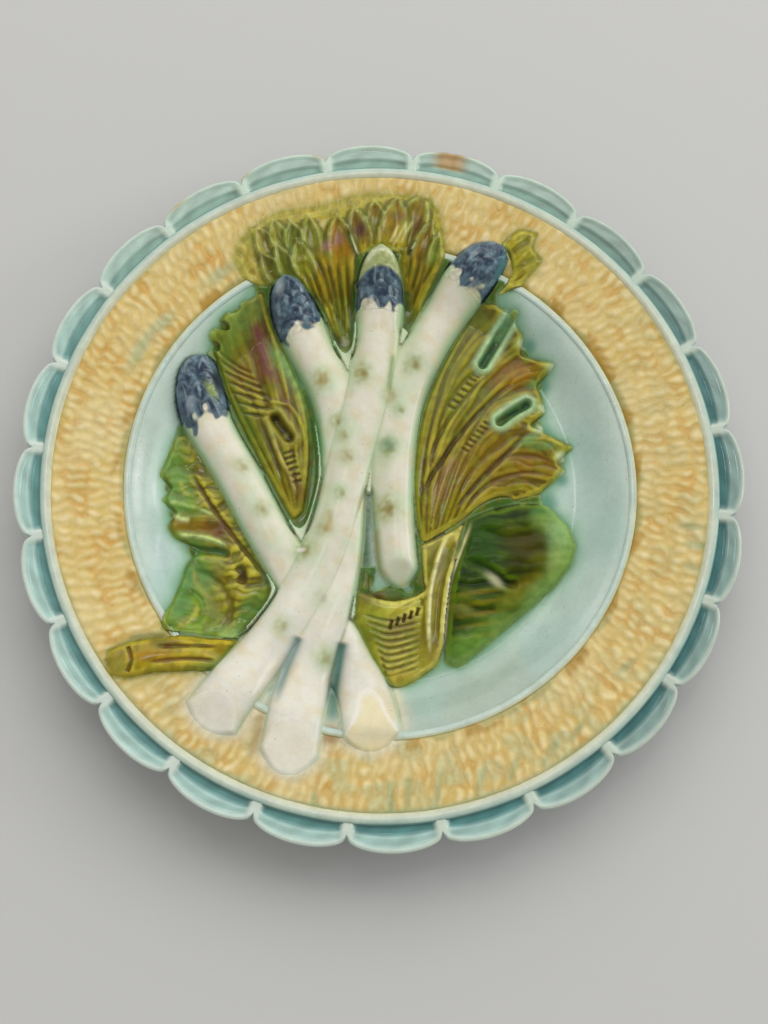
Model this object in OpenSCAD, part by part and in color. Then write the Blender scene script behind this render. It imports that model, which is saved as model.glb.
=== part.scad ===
// A majolica asparagus plate: a thrown dish with a petal edge, a basketwork
// flange, and four asparagus spears lying across artichoke leaves in relief.
// The origin is the centre of the foot, on the table, and +Y is the way the
// spears point.

/* [Dish] */
// Radius of the well at its lip
well_r = 80; // [65:0.5:90]
// Width of the well's sloping wall, from the floor to the lip
wall_w = 18; // [12:0.5:22]
// Depth of the well from its lip to its floor
well_depth = 8.4; // [5:0.1:12]
// Width of the flange, from the lip to the rim bead
flange_w = 25.2; // [22:0.2:34]
// Rise of the flange from the lip to the bead
flange_rise = 3.2; // [1:0.1:7]
// Thickness of the clay in the floor
floor_t = 4.5; // [3:0.1:7]
// Thickness of the clay in the wall and the flange
wall_t = 4.8; // [3.5:0.1:7]

/* [Foot] */
// How far the foot ring is set in from the edge of the well floor
foot_inset = 2; // [0:0.5:12]
// Width of the foot ring
foot_w = 5; // [3:0.1:9]
// Height of the foot ring
foot_h = 4; // [2:0.1:8]

/* [Rim] */
// Number of petals round the edge
petals = 24; // [16:1:32]
// Reach of a petal past the dish
petal_reach = 8.4; // [5:0.1:14]
// Depth of the notch between two petals
notch_depth = 4.6; // [2:0.1:5]
// Width of the raised border of a petal
border_w = 2; // [1.2:0.1:3]
// Depth of the hollow inside a petal's border
petal_dish = 1.3; // [0.5:0.1:2]
// Thickness of a petal at its border
petal_t = 3.8; // [2.5:0.1:5]
// Width of the rim bead
bead_w = 2.6; // [1.5:0.1:3.2]
// Height of the rim bead
bead_h = 1.2; // [0.5:0.1:2]
// Width of the lip bead
lip_bead_w = 2.4; // [1.5:0.1:4]
// Height of the lip bead
lip_bead_h = 0.7; // [0.3:0.1:1]

/* [Basketwork] */
// Number of stitches round the band
stitches = 108; // [60:2:140]
// Rows of stitches across the band
stitch_rows = 4; // [3:1:7]
// Thickness of the band in its hollows
band_t = 0.4; // [0.2:0.05:1]
// Rise of a stitch over the hollows
stitch_rise = 0.6; // [0.2:0.05:1]

/* [Spears] */
// Width of a spear
spear_w = 14.4; // [10:0.1:15]
// Height of a spear over the dish
spear_h = 6; // [3:0.1:8]
// Height of a spear's tip over the dish
tip_h = 5.2; // [3:0.1:7]
// Length of a spear's sloping cut face
cut_l = 10; // [6:0.5:12]

/* [Leaves] */
// Height of a leaf's crown over its edge
leaf_crown = 2.4; // [1:0.1:4]
// Height of a vein over the leaf
vein_h = 0.7; // [0.2:0.05:1.2]
// Thickness of the relief at its edges
edge_t = 0.9; // [0.5:0.1:1.5]

/* [Hidden] */
$fn = 144;

// Heights and radii that follow from the driving sizes
floor_r = well_r - wall_w;
floor_z = foot_h + floor_t;
foot_r = floor_r - foot_inset;
lip_z = floor_z + well_depth;
bead_r = well_r + flange_w;
body_r = bead_r + bead_w * 0.7;
band_in = well_r + lip_bead_w / 2;
band_out = bead_r - bead_w / 2;
clearance = 0.1;
wall_steps = 18;

// Share of the way up a smooth step, for x from 0 to 1
function smooth(x) = let (c = min(max(x, 0), 1)) c * c * (3 - 2 * c);

// Height of the dish's upper face at a radius
function top_z(r) =
  r <= floor_r ? floor_z
  : r <= well_r ? floor_z + well_depth * (1 - cos(180 * (r - floor_r) / (well_r - floor_r))) / 2
  : lip_z + flange_rise * (r - well_r) / (bead_r - well_r);

// Height at which relief is seated on the dish, which clears the beads and the weave
seat_ramp = 5 * lip_bead_w;
seat_rise = band_t + stitch_rise;
function seat_z(q) =
  let (r = norm(q))
  top_z(r) + clearance + seat_rise * smooth((r - well_r + seat_ramp) / seat_ramp);

// Radii at which the dish's faces are drawn
wall_radii = [for (i = [0 : wall_steps]) floor_r + (well_r - floor_r) * i / wall_steps];
lip_radii = [for (i = [-2 : 2]) well_r + lip_bead_w * i / 4];
dish_radii = concat(
  [for (r = wall_radii) if (r < lip_radii[0] - clearance) r],
  lip_radii,
  [band_out, bead_r, bead_r + bead_w / 2, body_r]
);

module plate_body() {
  color([0.68, 0.8, 0.78])
  rotate_extrude()
  polygon(concat(
    [[0, floor_z]],
    [for (r = dish_radii) [r, top_z(r)]],
    [for (i = [len(dish_radii) - 1 : -1 : 0])
      let (r = dish_radii[i])
      [r, max(foot_h, top_z(r) - wall_t)]],
    [[0, foot_h]]
  ));
}

module foot_ring() {
  edge = foot_w / 5;
  color([0.86, 0.82, 0.74])
  rotate_extrude()
  polygon([
    [foot_r - foot_w, foot_h],
    [foot_r - foot_w + edge / 2, edge],
    [foot_r - foot_w + edge, 0],
    [foot_r - edge, 0],
    [foot_r - edge / 2, edge],
    [foot_r, foot_h]
  ]);
}

// A half-round bead over the dish, between the given radii
module bead(radii, height) {
  first = radii[0];
  width = radii[len(radii) - 1] - first;
  steps = 8;
  rotate_extrude()
  polygon(concat(
    [for (r = radii) [r, top_z(r)]],
    [for (i = [steps - 1 : -1 : 1])
      let (r = first + width * (1 - cos(180 * i / steps)) / 2)
      [r, top_z(r) + height * sin(180 * i / steps)]]
  ));
}

module rim_bead() {
  color([0.8, 0.84, 0.77])
  bead([bead_r - bead_w / 2, bead_r, bead_r + bead_w / 2], bead_h);
}

module lip_bead() {
  color([0.76, 0.85, 0.82])
  bead(lip_radii, lip_bead_h);
}

// A closed ring from rows of points: sections[i] is one cross-section
module ring(sections) {
  n = len(sections);
  m = len(sections[0]);
  polyhedron(
    points = [for (s = sections) each s],
    faces = [for (i = [0 : n - 1], j = [0 : m - 1])
      let (a = i * m + j, b = i * m + (j + 1) % m,
        c = (i + 1) % n * m + (j + 1) % m, d = (i + 1) % n * m + j)
      each [[a, c, b], [a, d, c]]],
    convexity = 8
  );
}

function polar(r, angle, z) = [r * cos(angle), r * sin(angle), z];

// The scalloped edge: every petal is a rounded arc with a raised border and a hollow
petal_phase = 9.6;
petal_steps = 7;
rim_z = top_z(body_r);

// Outline radius at a share of a petal, from notch to notch
function petal_r(share) =
  body_r + petal_reach - notch_depth * (1 - sqrt(max(0, 1 - pow(2 * share - 1, 2))));

module petal_rim() {
  color([0.45, 0.67, 0.68])
  ring([for (i = [0 : petals * petal_steps - 1])
    let (
      share = (i % petal_steps) / petal_steps,
      angle = petal_phase + 360 * i / (petals * petal_steps),
      edge_r = petal_r(share),
      hollow = petal_dish * smooth((0.5 - abs(share - 0.5)) * 5),
      span = edge_r - border_w - body_r
    )
    [
      polar(body_r, angle, rim_z - wall_t),
      polar(body_r, angle, rim_z - hollow / 2),
      polar(body_r + span * 0.35, angle, rim_z - hollow),
      polar(body_r + span, angle, rim_z - hollow * 0.45),
      polar(edge_r - border_w * 0.65, angle, rim_z),
      polar(edge_r - border_w * 0.2, angle, rim_z - petal_t * 0.08),
      polar(edge_r, angle, rim_z - petal_t * 0.45),
      polar(edge_r - border_w * 0.5, angle, rim_z - petal_t)
    ]
  ]);
}

// The woven band: neighbouring stitches stand high and low in turn, row by row
module basketwork_band() {
  n = 2 * stitches;
  color([0.88, 0.76, 0.49])
  ring([for (i = [0 : n - 1])
    let (angle = 360 * i / n)
    concat(
      [polar(band_out, angle, top_z(band_out)), polar(band_in, angle, top_z(band_in))],
      [for (j = [0 : stitch_rows])
        let (r = band_in + (band_out - band_in) * j / stitch_rows)
        polar(r, angle, top_z(r) + band_t + stitch_rise * ((i + j) % 2))]
    )
  ]);
}

// Relief: a sheet of points with a height at each, seated on the dish
module relief(points, heights) {
  n = len(points);
  m = len(points[0]);
  size = n * m;
  low = [for (row = points, q = row) [q.x, q.y, seat_z(q)]];
  high = [for (i = [0 : n - 1], j = [0 : m - 1])
    let (q = points[i][j])
    [q.x, q.y, seat_z(q) + heights[i][j]]];
  sheet = [for (i = [0 : n - 2], j = [0 : m - 2])
    let (a = i * m + j, b = a + 1, c = b + m, d = a + m)
    each [[a, b, c], [a, c, d]]];
  rim = concat(
    [for (j = [0 : m - 2]) j],
    [for (i = [0 : n - 2]) i * m + m - 1],
    [for (j = [m - 1 : -1 : 1]) (n - 1) * m + j],
    [for (i = [n - 1 : -1 : 1]) i * m]
  );
  k = len(rim);
  turned = cross(points[0][m - 1] - points[0][0], points[n - 1][0] - points[0][0]) > 0;
  shell = concat(
    [for (f = sheet) [f[0], f[2], f[1]]],
    [for (f = sheet) [f[0] + size, f[1] + size, f[2] + size]],
    [for (i = [0 : k - 1])
      let (a = rim[i], b = rim[(i + 1) % k])
      each [[a, b, b + size], [a, b + size, a + size]]]
  );
  polyhedron(
    points = concat(low, high),
    faces = turned ? [for (f = shell) [f[0], f[2], f[1]]] : shell,
    convexity = 6
  );
}

// A point along a smooth line through the given points, for t from 0 to 1
function along(p, t) =
  let (
    n = len(p) - 1,
    s = min(max(t, 0), 1) * n,
    i = min(floor(s), n - 1),
    f = s - i,
    a = p[max(i - 1, 0)],
    b = p[i],
    c = p[i + 1],
    d = p[min(i + 2, n)]
  )
  (2 * b + (c - a) * f + (2 * a - 5 * b + 4 * c - d) * f * f + (3 * b - a - 3 * c + d) * f * f * f) / 2;

function heading(p, t) =
  let (v = along(p, min(t + 0.01, 1)) - along(p, max(t - 0.01, 0)))
  v / norm(v);

// Routes of the spears from apex to cut end, as shares of the well's radius
spear_a_shares = [
  [-0.713, 0.537], [-0.728, 0.425], [-0.698, 0.275], [-0.57, 0.05], [-0.469, -0.144],
  [-0.362, -0.325], [-0.263, -0.475], [-0.175, -0.6], [-0.12, -0.72], [-0.06, -0.845],
  [-0.03, -1.04]
];
spear_b_shares = [
  [-0.394, 0.869], [-0.356, 0.75], [-0.294, 0.606], [-0.194, 0.388], [-0.15, 0.163],
  [-0.15, -0.062], [-0.16, -0.25], [-0.194, -0.45], [-0.25, -0.63], [-0.31, -0.83], [-0.36, -1.125]
];
spear_c_shares = [
  [0, 1], [-0.003, 0.863], [-0.005, 0.713], [-0.022, 0.562], [-0.065, 0.35], [-0.125, 0.125],
  [-0.175, -0.1], [-0.244, -0.3], [-0.34, -0.48], [-0.46, -0.66], [-0.58, -0.83], [-0.669, -0.963]
];
spear_d_shares = [
  [0.5, 0.988], [0.394, 0.91], [0.27, 0.75], [0.175, 0.59], [0.105, 0.438], [0.065, 0.25],
  [0.05, 0.05], [0.055, -0.15], [0.077, -0.375]
];
route_a = spear_a_shares * well_r;
route_b = spear_b_shares * well_r;
route_c = spear_c_shares * well_r;
route_d = spear_d_shares * well_r;

// Share of its route that each spear's tip takes
tip_a_share = 0.19;
tip_b_share = 0.18;
tip_c_share = 0.17;
tip_d_share = 0.2;

// How a spear's width runs along its route, and how its tip rounds off
width_shares = [[0, 1.14], [0.15, 1.14], [0.25, 1.02], [0.6, 1], [0.75, 1.05], [1, 1.3]];
straight_shares = [[0, 1.14], [0.15, 1.14], [0.25, 1.02], [0.6, 0.98], [1, 0.86]];
function half_w(t, widths = width_shares) = spear_w / 2 * lookup(t, widths);
function ogive(x) = 0.14 + 0.86 * pow(1 - pow(1 - min(max(x, 0), 1), 2.2), 0.5);
function rail(route, t, s, widths = width_shares) =
  let (v = heading(route, t))
  along(route, t) + half_w(t, widths) * s * [-v.y, v.x];

// A spear's footprint as discs along its route, each with its radius
guard_steps = 90;
function guard(route, tip, widths = width_shares) = [for (i = [0 : guard_steps])
  let (t = i / guard_steps)
  concat(along(route, t), half_w(t, widths) * ogive(t / tip))];
guard_a = guard(route_a, tip_a_share);
guard_b = guard(route_b, tip_b_share);
guard_c = guard(route_c, tip_c_share);
guard_d = guard(route_d, tip_d_share, straight_shares);

// How far a point lies outside each disc, and the disc that it is nearest to
function margins(q, discs) = [for (d = discs) norm(q - [d.x, d.y]) - d.z - clearance];
function outside(q, discs) = min(margins(q, discs));

// A point moved out to the edge of the spears, if it lies under them
function beside(q, discs) =
  let (gaps = margins(q, discs), least = len(discs) == 0 ? 0 : min(gaps))
  least >= 0 ? q
  : let (
      d = discs[search(least, gaps)[0]],
      away = q - [d.x, d.y]
    )
    q - away * least / norm(away);

// The first place on a rail, going from one share of the route to another, that is covered
function reach(route, s, from, to, discs, steps = 60) =
  len(discs) == 0 ? to
  : let (
      free = [for (i = [0 : steps]) outside(rail(route, from + (to - from) * i / steps, s), discs)],
      hit = [for (i = [1 : steps]) if (free[i] < 0 && free[i - 1] >= 0) i]
    )
    len(hit) == 0 ? to
    : let (i = hit[0])
      from + (to - from) * (i - 1 + free[i - 1] / (free[i - 1] - free[i])) / steps;

// Height of a spear's crest over its seat: the spear is stiffer than the dish under it
bridge_l = 12;
function crest(route, t, height) =
  let (
    q = along(route, t),
    v = heading(route, t),
    near = [for (k = [-1, -0.5, 0, 0.5, 1]) seat_z(q + v * k * bridge_l)],
    mean = (near[0] + near[1] + near[2] + near[3] + near[4]) / len(near)
  )
  max(height * 0.7, mean + height - seat_z(q));

// Cross positions of a spear's rails, from one edge to the other
rails = 9;
function rail_s(j) = -cos(180 * j / (rails - 1));
function dome(s) = sqrt(max(0, 1 - s * s));

// One visible length of a stem, trimmed by the discs of the spears that cross over it and
// pressed against those beside it. A cut end slopes down to the dish over cut_l.
module stem(
  route, from, to, steps, over = [], next = [], cut = false, slant = 0, height = spear_h,
  widths = width_shares
) {
  route_l = norm(route[len(route) - 1] - route[0]);
  spans = [for (j = [0 : rails - 1])
    let (s = rail_s(j))
    cut ? [reach(route, s, to, from, over), to + slant * s] : [from, reach(route, s, from, to, over)]];
  places = [for (i = [0 : steps]) [for (span = spans) span[0] + (span[1] - span[0]) * i / steps]];
  relief(
    [for (row = places) [for (j = [0 : rails - 1])
      beside(rail(route, row[j], rail_s(j), widths), next)]],
    [for (row = places) [for (j = [0 : rails - 1])
      let (fall = cut ? smooth((spans[j][1] - row[j]) * route_l / cut_l) : 1)
      edge_t + (crest(route, row[j], height) - edge_t) * dome(rail_s(j)) * (0.1 + 0.9 * fall)]]
  );
}

module spear_a() {
  over = concat(guard_b, guard_c);
  color([0.86, 0.84, 0.76]) {
    stem(route_a, tip_a_share, 0.8, 9, over);
    stem(route_a, 0.3, 1, 8, over, cut = true);
  }
}

module spear_b() {
  color([0.86, 0.84, 0.76]) {
    stem(route_b, tip_b_share, 0.6, 8, guard_c);
    stem(route_b, 0.5, 1, 13, guard_c, cut = true);
  }
}

module spear_c() {
  color([0.87, 0.85, 0.77])
  stem(route_c, tip_c_share, 1, 20, cut = true, height = spear_h * 1.15);
}

module spear_d() {
  color([0.87, 0.85, 0.77])
  stem(
    route_d, tip_d_share, 0.97, 13, next = concat(guard_b, guard_c), cut = true, slant = 0.025,
    widths = straight_shares
  );
}

// A spear's tip: an ogive of overlapping scales in rows, next to its stem
tip_rows = 4;
module tip(route, share) {
  steps = 3 * tip_rows;
  step_l = norm(along(route, share) - along(route, 0)) / share;
  end = share - clearance / step_l;
  relief(
    [for (i = [0 : steps]) [for (j = [0 : rails - 1])
      rail(route, end * i / steps, rail_s(j) * ogive(i / steps))]],
    [for (i = [0 : steps]) [for (j = [0 : rails - 1])
      let (
        row = floor(i / 3),
        lap = i < steps ? 1 - (i / 3 - row) : 0,
        scale_h = edge_t * lap * ((j + row) % 2)
      )
      edge_t + ((tip_h - edge_t) * ogive(i / steps) + scale_h) * dome(rail_s(j))]]
  );
}

module tip_a() {
  color([0.3, 0.37, 0.5])
  tip(route_a, tip_a_share);
}

module tip_b() {
  color([0.3, 0.37, 0.5])
  tip(route_b, tip_b_share);
}

module tip_c() {
  color([0.3, 0.37, 0.5])
  tip(route_c, tip_c_share);
}

module tip_d() {
  color([0.28, 0.33, 0.42])
  tip(route_d, tip_d_share);
}

// A leaf: every rung is a vein, given at its base, its middle and its end as shares of the
// well's radius. Rungs stand high and low in turn, the edges thin out, and what would lie
// under a spear stops at the spear's edge.
spears = concat(guard_a, guard_b, guard_c, guard_d);
module leaf(rungs, cols = 7, sub = 2, crown = leaf_crown) {
  n = (len(rungs) - 1) * sub;
  points = [for (i = [0 : n])
    let (r = [for (k = [0 : 2]) along([for (rung = rungs) rung[k] * well_r], i / n)])
    [for (j = [0 : cols])
      let (u = j / cols)
      beside(r[0] * (1 - u) * (1 - 2 * u) + r[1] * 4 * u * (1 - u) + r[2] * u * (2 * u - 1), spears)]];
  relief(
    points,
    [for (i = [0 : n]) [for (j = [0 : cols])
      let (
        across = sqrt(sin(180 * i / n)),
        onward = sqrt(sin(180 * (0.06 + 0.88 * j / cols))),
        vein = vein_h * (1 - cos(180 * i / sub)) / 2
      )
      edge_t + (crown * onward + vein) * across]]
  );
}

leaf_right_shares = [
  [[0.155, -0.195], [0.158, 0.275], [0.375, 0.744]],
  [[0.163, -0.205], [0.193, 0.312], [0.419, 0.781]],
  [[0.17, -0.21], [0.225, 0.328], [0.469, 0.775]],
  [[0.177, -0.211], [0.25, 0.325], [0.531, 0.725]],
  [[0.185, -0.209], [0.287, 0.319], [0.581, 0.65]],
  [[0.194, -0.205], [0.325, 0.306], [0.575, 0.575]],
  [[0.202, -0.2], [0.356, 0.294], [0.713, 0.525]],
  [[0.212, -0.194], [0.388, 0.275], [0.637, 0.444]],
  [[0.225, -0.186], [0.406, 0.256], [0.656, 0.4]],
  [[0.237, -0.179], [0.421, 0.233], [0.669, 0.331]],
  [[0.25, -0.171], [0.429, 0.206], [0.606, 0.275]],
  [[0.263, -0.164], [0.463, 0.166], [0.781, 0.188]],
  [[0.275, -0.155], [0.466, 0.13], [0.713, 0.119]],
  [[0.291, -0.145], [0.47, 0.092], [0.75, 0.087]],
  [[0.307, -0.135], [0.469, 0.05], [0.688, 0.031]],
  [[0.325, -0.123], [0.469, 0.006], [0.637, -0.013]],
  [[0.344, -0.107], [0.456, -0.031], [0.54, -0.04]]
];

leaf_right_fold_shares = [
  [[0.35, -0.119], [0.525, -0.057], [0.675, -0.062]],
  [[0.338, -0.175], [0.562, -0.138], [0.756, -0.15]],
  [[0.323, -0.237], [0.569, -0.225], [0.781, -0.225]],
  [[0.3, -0.306], [0.556, -0.306], [0.756, -0.306]],
  [[0.284, -0.375], [0.512, -0.388], [0.694, -0.388]],
  [[0.271, -0.45], [0.45, -0.475], [0.594, -0.475]],
  [[0.261, -0.537], [0.388, -0.562], [0.494, -0.562]],
  [[0.255, -0.625], [0.331, -0.644], [0.406, -0.637]],
  [[0.25, -0.7], [0.281, -0.713], [0.312, -0.719]]
];

leaf_right_stalk_shares = [
  [[0.019, -0.767], [0.075, -0.794], [0.15, -0.762]],
  [[-0.031, -0.719], [0.1, -0.744], [0.227, -0.706]],
  [[-0.075, -0.625], [0.087, -0.65], [0.245, -0.637]],
  [[-0.113, -0.537], [0.087, -0.575], [0.25, -0.556]],
  [[-0.113, -0.469], [0.087, -0.516], [0.258, -0.475]],
  [[-0.094, -0.416], [0.077, -0.486], [0.267, -0.411]],
  [[-0.01, -0.441], [0.125, -0.463], [0.274, -0.371]],
  [[0.064, -0.45], [0.158, -0.439], [0.276, -0.348]],
  [[0.166, -0.415], [0.21, -0.39], [0.285, -0.328]],
  [[0.168, -0.362], [0.224, -0.319], [0.296, -0.279]],
  [[0.163, -0.287], [0.225, -0.253], [0.312, -0.212]],
  [[0.16, -0.22], [0.231, -0.193], [0.338, -0.131]]
];

leaf_left_inner_shares = [
  [[-0.354, -0.128], [-0.525, 0.191], [-0.625, 0.4]],
  [[-0.349, -0.126], [-0.51, 0.221], [-0.65, 0.481]],
  [[-0.344, -0.124], [-0.491, 0.256], [-0.695, 0.625]],
  [[-0.338, -0.12], [-0.45, 0.275], [-0.631, 0.713]],
  [[-0.331, -0.115], [-0.412, 0.3], [-0.544, 0.775]],
  [[-0.325, -0.109], [-0.362, 0.3], [-0.484, 0.805]],
  [[-0.315, -0.099], [-0.341, 0.289], [-0.441, 0.689]],
  [[-0.307, -0.091], [-0.289, 0.265], [-0.369, 0.541]]
];

leaf_left_outer_shares = [
  [[-0.775, 0.225], [-0.8, 0.219], [-0.825, 0.212]],
  [[-0.713, 0.15], [-0.787, 0.144], [-0.856, 0.113]],
  [[-0.662, 0.062], [-0.762, 0.05], [-0.881, 0.044]],
  [[-0.637, 0.019], [-0.75, 0], [-0.831, 0]],
  [[-0.613, -0.025], [-0.738, -0.05], [-0.869, -0.056]],
  [[-0.588, -0.075], [-0.713, -0.1], [-0.812, -0.102]],
  [[-0.562, -0.113], [-0.688, -0.144], [-0.844, -0.163]],
  [[-0.525, -0.175], [-0.65, -0.2], [-0.819, -0.205]],
  [[-0.487, -0.237], [-0.6, -0.263], [-0.719, -0.25]],
  [[-0.45, -0.3], [-0.6, -0.325], [-0.769, -0.312]],
  [[-0.412, -0.375], [-0.588, -0.4], [-0.787, -0.4]],
  [[-0.425, -0.45], [-0.6, -0.475], [-0.812, -0.481]],
  [[-0.487, -0.537], [-0.65, -0.556], [-0.844, -0.537]],
  [[-0.562, -0.605], [-0.7, -0.603], [-0.85, -0.593]]
];

leaf_top_left_shares = [
  [[-0.475, 0.856], [-0.525, 0.881], [-0.588, 0.912]],
  [[-0.45, 0.863], [-0.512, 0.925], [-0.575, 0.988]],
  [[-0.431, 0.869], [-0.487, 0.963], [-0.537, 1.075]],
  [[-0.412, 0.869], [-0.45, 0.988], [-0.481, 1.069]],
  [[-0.394, 0.869], [-0.419, 0.994], [-0.438, 1.125]],
  [[-0.375, 0.869], [-0.39, 0.988], [-0.391, 1.075]],
  [[-0.36, 0.863], [-0.362, 0.988], [-0.356, 1.119]],
  [[-0.34, 0.85], [-0.34, 0.963], [-0.335, 1.05]]
];

leaf_top_near_shares = [
  [[-0.155, 0.588], [-0.256, 0.825], [-0.31, 1.025]],
  [[-0.149, 0.588], [-0.237, 0.85], [-0.287, 1.087]],
  [[-0.143, 0.588], [-0.212, 0.863], [-0.231, 1.062]],
  [[-0.136, 0.588], [-0.188, 0.875], [-0.2, 1.188]],
  [[-0.13, 0.588], [-0.158, 0.887], [-0.163, 1.125]],
  [[-0.124, 0.588], [-0.131, 0.887], [-0.125, 1.225]],
  [[-0.118, 0.588], [-0.107, 0.875], [-0.098, 1.125]]
];

leaf_top_middle_shares = [
  [[-0.075, 0.988], [-0.08, 1.075], [-0.077, 1.137]],
  [[-0.053, 1], [-0.055, 1.113], [-0.048, 1.219]],
  [[-0.025, 1.012], [-0.025, 1.1], [-0.015, 1.15]],
  [[0.005, 1.012], [0.01, 1.113], [0.028, 1.225]],
  [[0.037, 1.012], [0.041, 1.1], [0.05, 1.15]],
  [[0.062, 0.994], [0.075, 1.087], [0.09, 1.188]]
];

leaf_top_far_shares = [
  [[0.118, 0.812], [0.109, 0.988], [0.11, 1.125]],
  [[0.121, 0.814], [0.126, 1.006], [0.138, 1.238]],
  [[0.125, 0.815], [0.148, 1.012], [0.163, 1.163]],
  [[0.129, 0.816], [0.17, 1.012], [0.206, 1.225]],
  [[0.133, 0.819], [0.191, 1.004], [0.219, 1.113]],
  [[0.136, 0.823], [0.212, 0.988], [0.256, 1.075]],
  [[0.141, 0.829], [0.233, 0.954], [0.263, 0.963]]
];

leaf_top_right_shares = [
  [[0.463, 0.8], [0.519, 0.819], [0.575, 0.838]],
  [[0.5, 0.831], [0.562, 0.863], [0.613, 0.887]],
  [[0.525, 0.875], [0.594, 0.912], [0.662, 0.944]],
  [[0.531, 0.925], [0.588, 0.963], [0.619, 0.994]],
  [[0.519, 0.975], [0.575, 1.025], [0.644, 1.062]],
  [[0.487, 1.012], [0.525, 1.05], [0.562, 1.081]]
];

module leaf_right() {
  color([0.43, 0.4, 0.1])
  leaf(leaf_right_shares, cols = 7);
}

module leaf_right_fold() {
  color([0.27, 0.34, 0.1])
  leaf(leaf_right_fold_shares, cols = 6);
}

module leaf_right_stalk() {
  color([0.45, 0.42, 0.1])
  leaf(leaf_right_stalk_shares, cols = 6);
}

module leaf_left_inner() {
  color([0.44, 0.42, 0.12])
  leaf(leaf_left_inner_shares, cols = 8);
}

module leaf_left_outer() {
  color([0.4, 0.38, 0.12])
  leaf(leaf_left_outer_shares, cols = 5);
}

leaf_left_stalk_shares = [
  [[-0.575, -0.75], [-0.556, -0.675], [-0.55, -0.613]],
  [[-0.662, -0.75], [-0.662, -0.681], [-0.675, -0.619]],
  [[-0.762, -0.756], [-0.762, -0.688], [-0.775, -0.615]],
  [[-0.863, -0.762], [-0.863, -0.694], [-0.875, -0.622]],
  [[-0.956, -0.785], [-0.963, -0.713], [-0.975, -0.64]],
  [[-1.038, -0.785], [-1.054, -0.731], [-1.05, -0.675]]
];

module leaf_left_stalk() {
  color([0.5, 0.42, 0.12])
  leaf(leaf_left_stalk_shares, cols = 7, crown = leaf_crown * 0.9);
}

module leaf_top_left() {
  color([0.42, 0.45, 0.16])
  leaf(leaf_top_left_shares, cols = 4);
}

module leaf_top_near() {
  color([0.42, 0.4, 0.12])
  leaf(leaf_top_near_shares, cols = 6);
}

module leaf_top_middle() {
  color([0.45, 0.4, 0.14])
  leaf(leaf_top_middle_shares, cols = 3);
}

module leaf_top_far() {
  color([0.42, 0.4, 0.12])
  leaf(leaf_top_far_shares, cols = 6);
}

module leaf_top_right() {
  color([0.42, 0.42, 0.16])
  leaf(leaf_top_right_shares, cols = 3);
}

plate_body();
foot_ring();
petal_rim();
rim_bead();
basketwork_band();
lip_bead();
spear_a();
spear_b();
spear_c();
spear_d();
tip_a();
tip_b();
tip_c();
tip_d();
leaf_right();
leaf_right_fold();
leaf_right_stalk();
leaf_left_inner();
leaf_left_outer();
leaf_left_stalk();
leaf_top_left();
leaf_top_near();
leaf_top_middle();
leaf_top_far();
leaf_top_right();
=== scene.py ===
import math
import bpy
import numpy as np
from mathutils import Matrix, Vector


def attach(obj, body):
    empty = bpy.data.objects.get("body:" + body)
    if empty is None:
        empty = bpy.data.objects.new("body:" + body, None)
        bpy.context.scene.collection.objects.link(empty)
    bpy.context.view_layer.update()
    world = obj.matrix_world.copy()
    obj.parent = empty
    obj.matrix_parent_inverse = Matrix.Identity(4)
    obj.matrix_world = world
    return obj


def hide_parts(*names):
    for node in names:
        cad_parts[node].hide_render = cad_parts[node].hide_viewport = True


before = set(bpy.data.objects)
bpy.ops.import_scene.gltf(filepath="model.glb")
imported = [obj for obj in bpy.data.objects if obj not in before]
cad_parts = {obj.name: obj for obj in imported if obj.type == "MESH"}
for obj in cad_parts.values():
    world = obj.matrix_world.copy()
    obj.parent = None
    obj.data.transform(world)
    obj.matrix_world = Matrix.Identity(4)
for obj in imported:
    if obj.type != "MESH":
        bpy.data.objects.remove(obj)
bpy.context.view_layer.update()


# The camera stands over the plate at arm's length, a little towards the spears' cut ends,
# with its top turned slightly to the left, as a hand-held picture of a table is.
camera_lift = math.radians(75.64)
camera_roll = math.radians(6.74)
camera_turn = math.radians(-6.5513)
camera_aim = Vector((0.00195, -0.01008, 0.0))
camera_away = 0.5551
rim_crest = 0.0213
camera_data = bpy.data.cameras.new("camera")
camera_data.lens = 62.42
camera = bpy.data.objects.new("camera", camera_data)
bpy.context.scene.collection.objects.link(camera)
camera_back = Vector((0, -math.cos(camera_lift), math.sin(camera_lift)))
camera.matrix_world = (
    Matrix.Translation((0, 0, rim_crest))
    @ Matrix.Rotation(camera_turn, 4, "Z")
    @ Matrix.Translation(camera_aim + camera_back * camera_away)
    @ Matrix.Rotation(math.pi / 2 - camera_lift, 4, "X")
    @ Matrix.Rotation(camera_roll, 4, "Z")
)
bpy.context.scene.camera = camera


# The table is a plain pale floor. The room is evenly bright, with a wide window beyond the
# tips of the spears, a second one to the right and a small bright pane overhead.
def linear(red, green, blue):
    """Linear colour of a screen colour from 0 to 255: the usual curve, a line near black."""
    c = np.array([red, green, blue]) / 255
    return np.where(c < 0.04045, c / 12.92, ((c + 0.055) / 1.055) ** 2.4)


floor_side = 6.0
floor_mesh = bpy.data.meshes.new("table_top")
floor_mesh.from_pydata(
    [(x * floor_side, y * floor_side, 0) for x, y in ((-1, -1), (1, -1), (1, 1), (-1, 1))],
    [], [(0, 1, 2, 3)])
table_top = bpy.data.objects.new("table_top", floor_mesh)
bpy.context.scene.collection.objects.link(table_top)
table_paint = bpy.data.materials.new("table_paint")
table_paint.use_nodes = True
table_shader = table_paint.node_tree.nodes["Principled BSDF"]
table_shader.inputs["Base Color"].default_value = (*linear(200, 200, 199), 1)
table_shader.inputs["Roughness"].default_value = 0.9
table_top.data.materials.append(table_paint)

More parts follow.
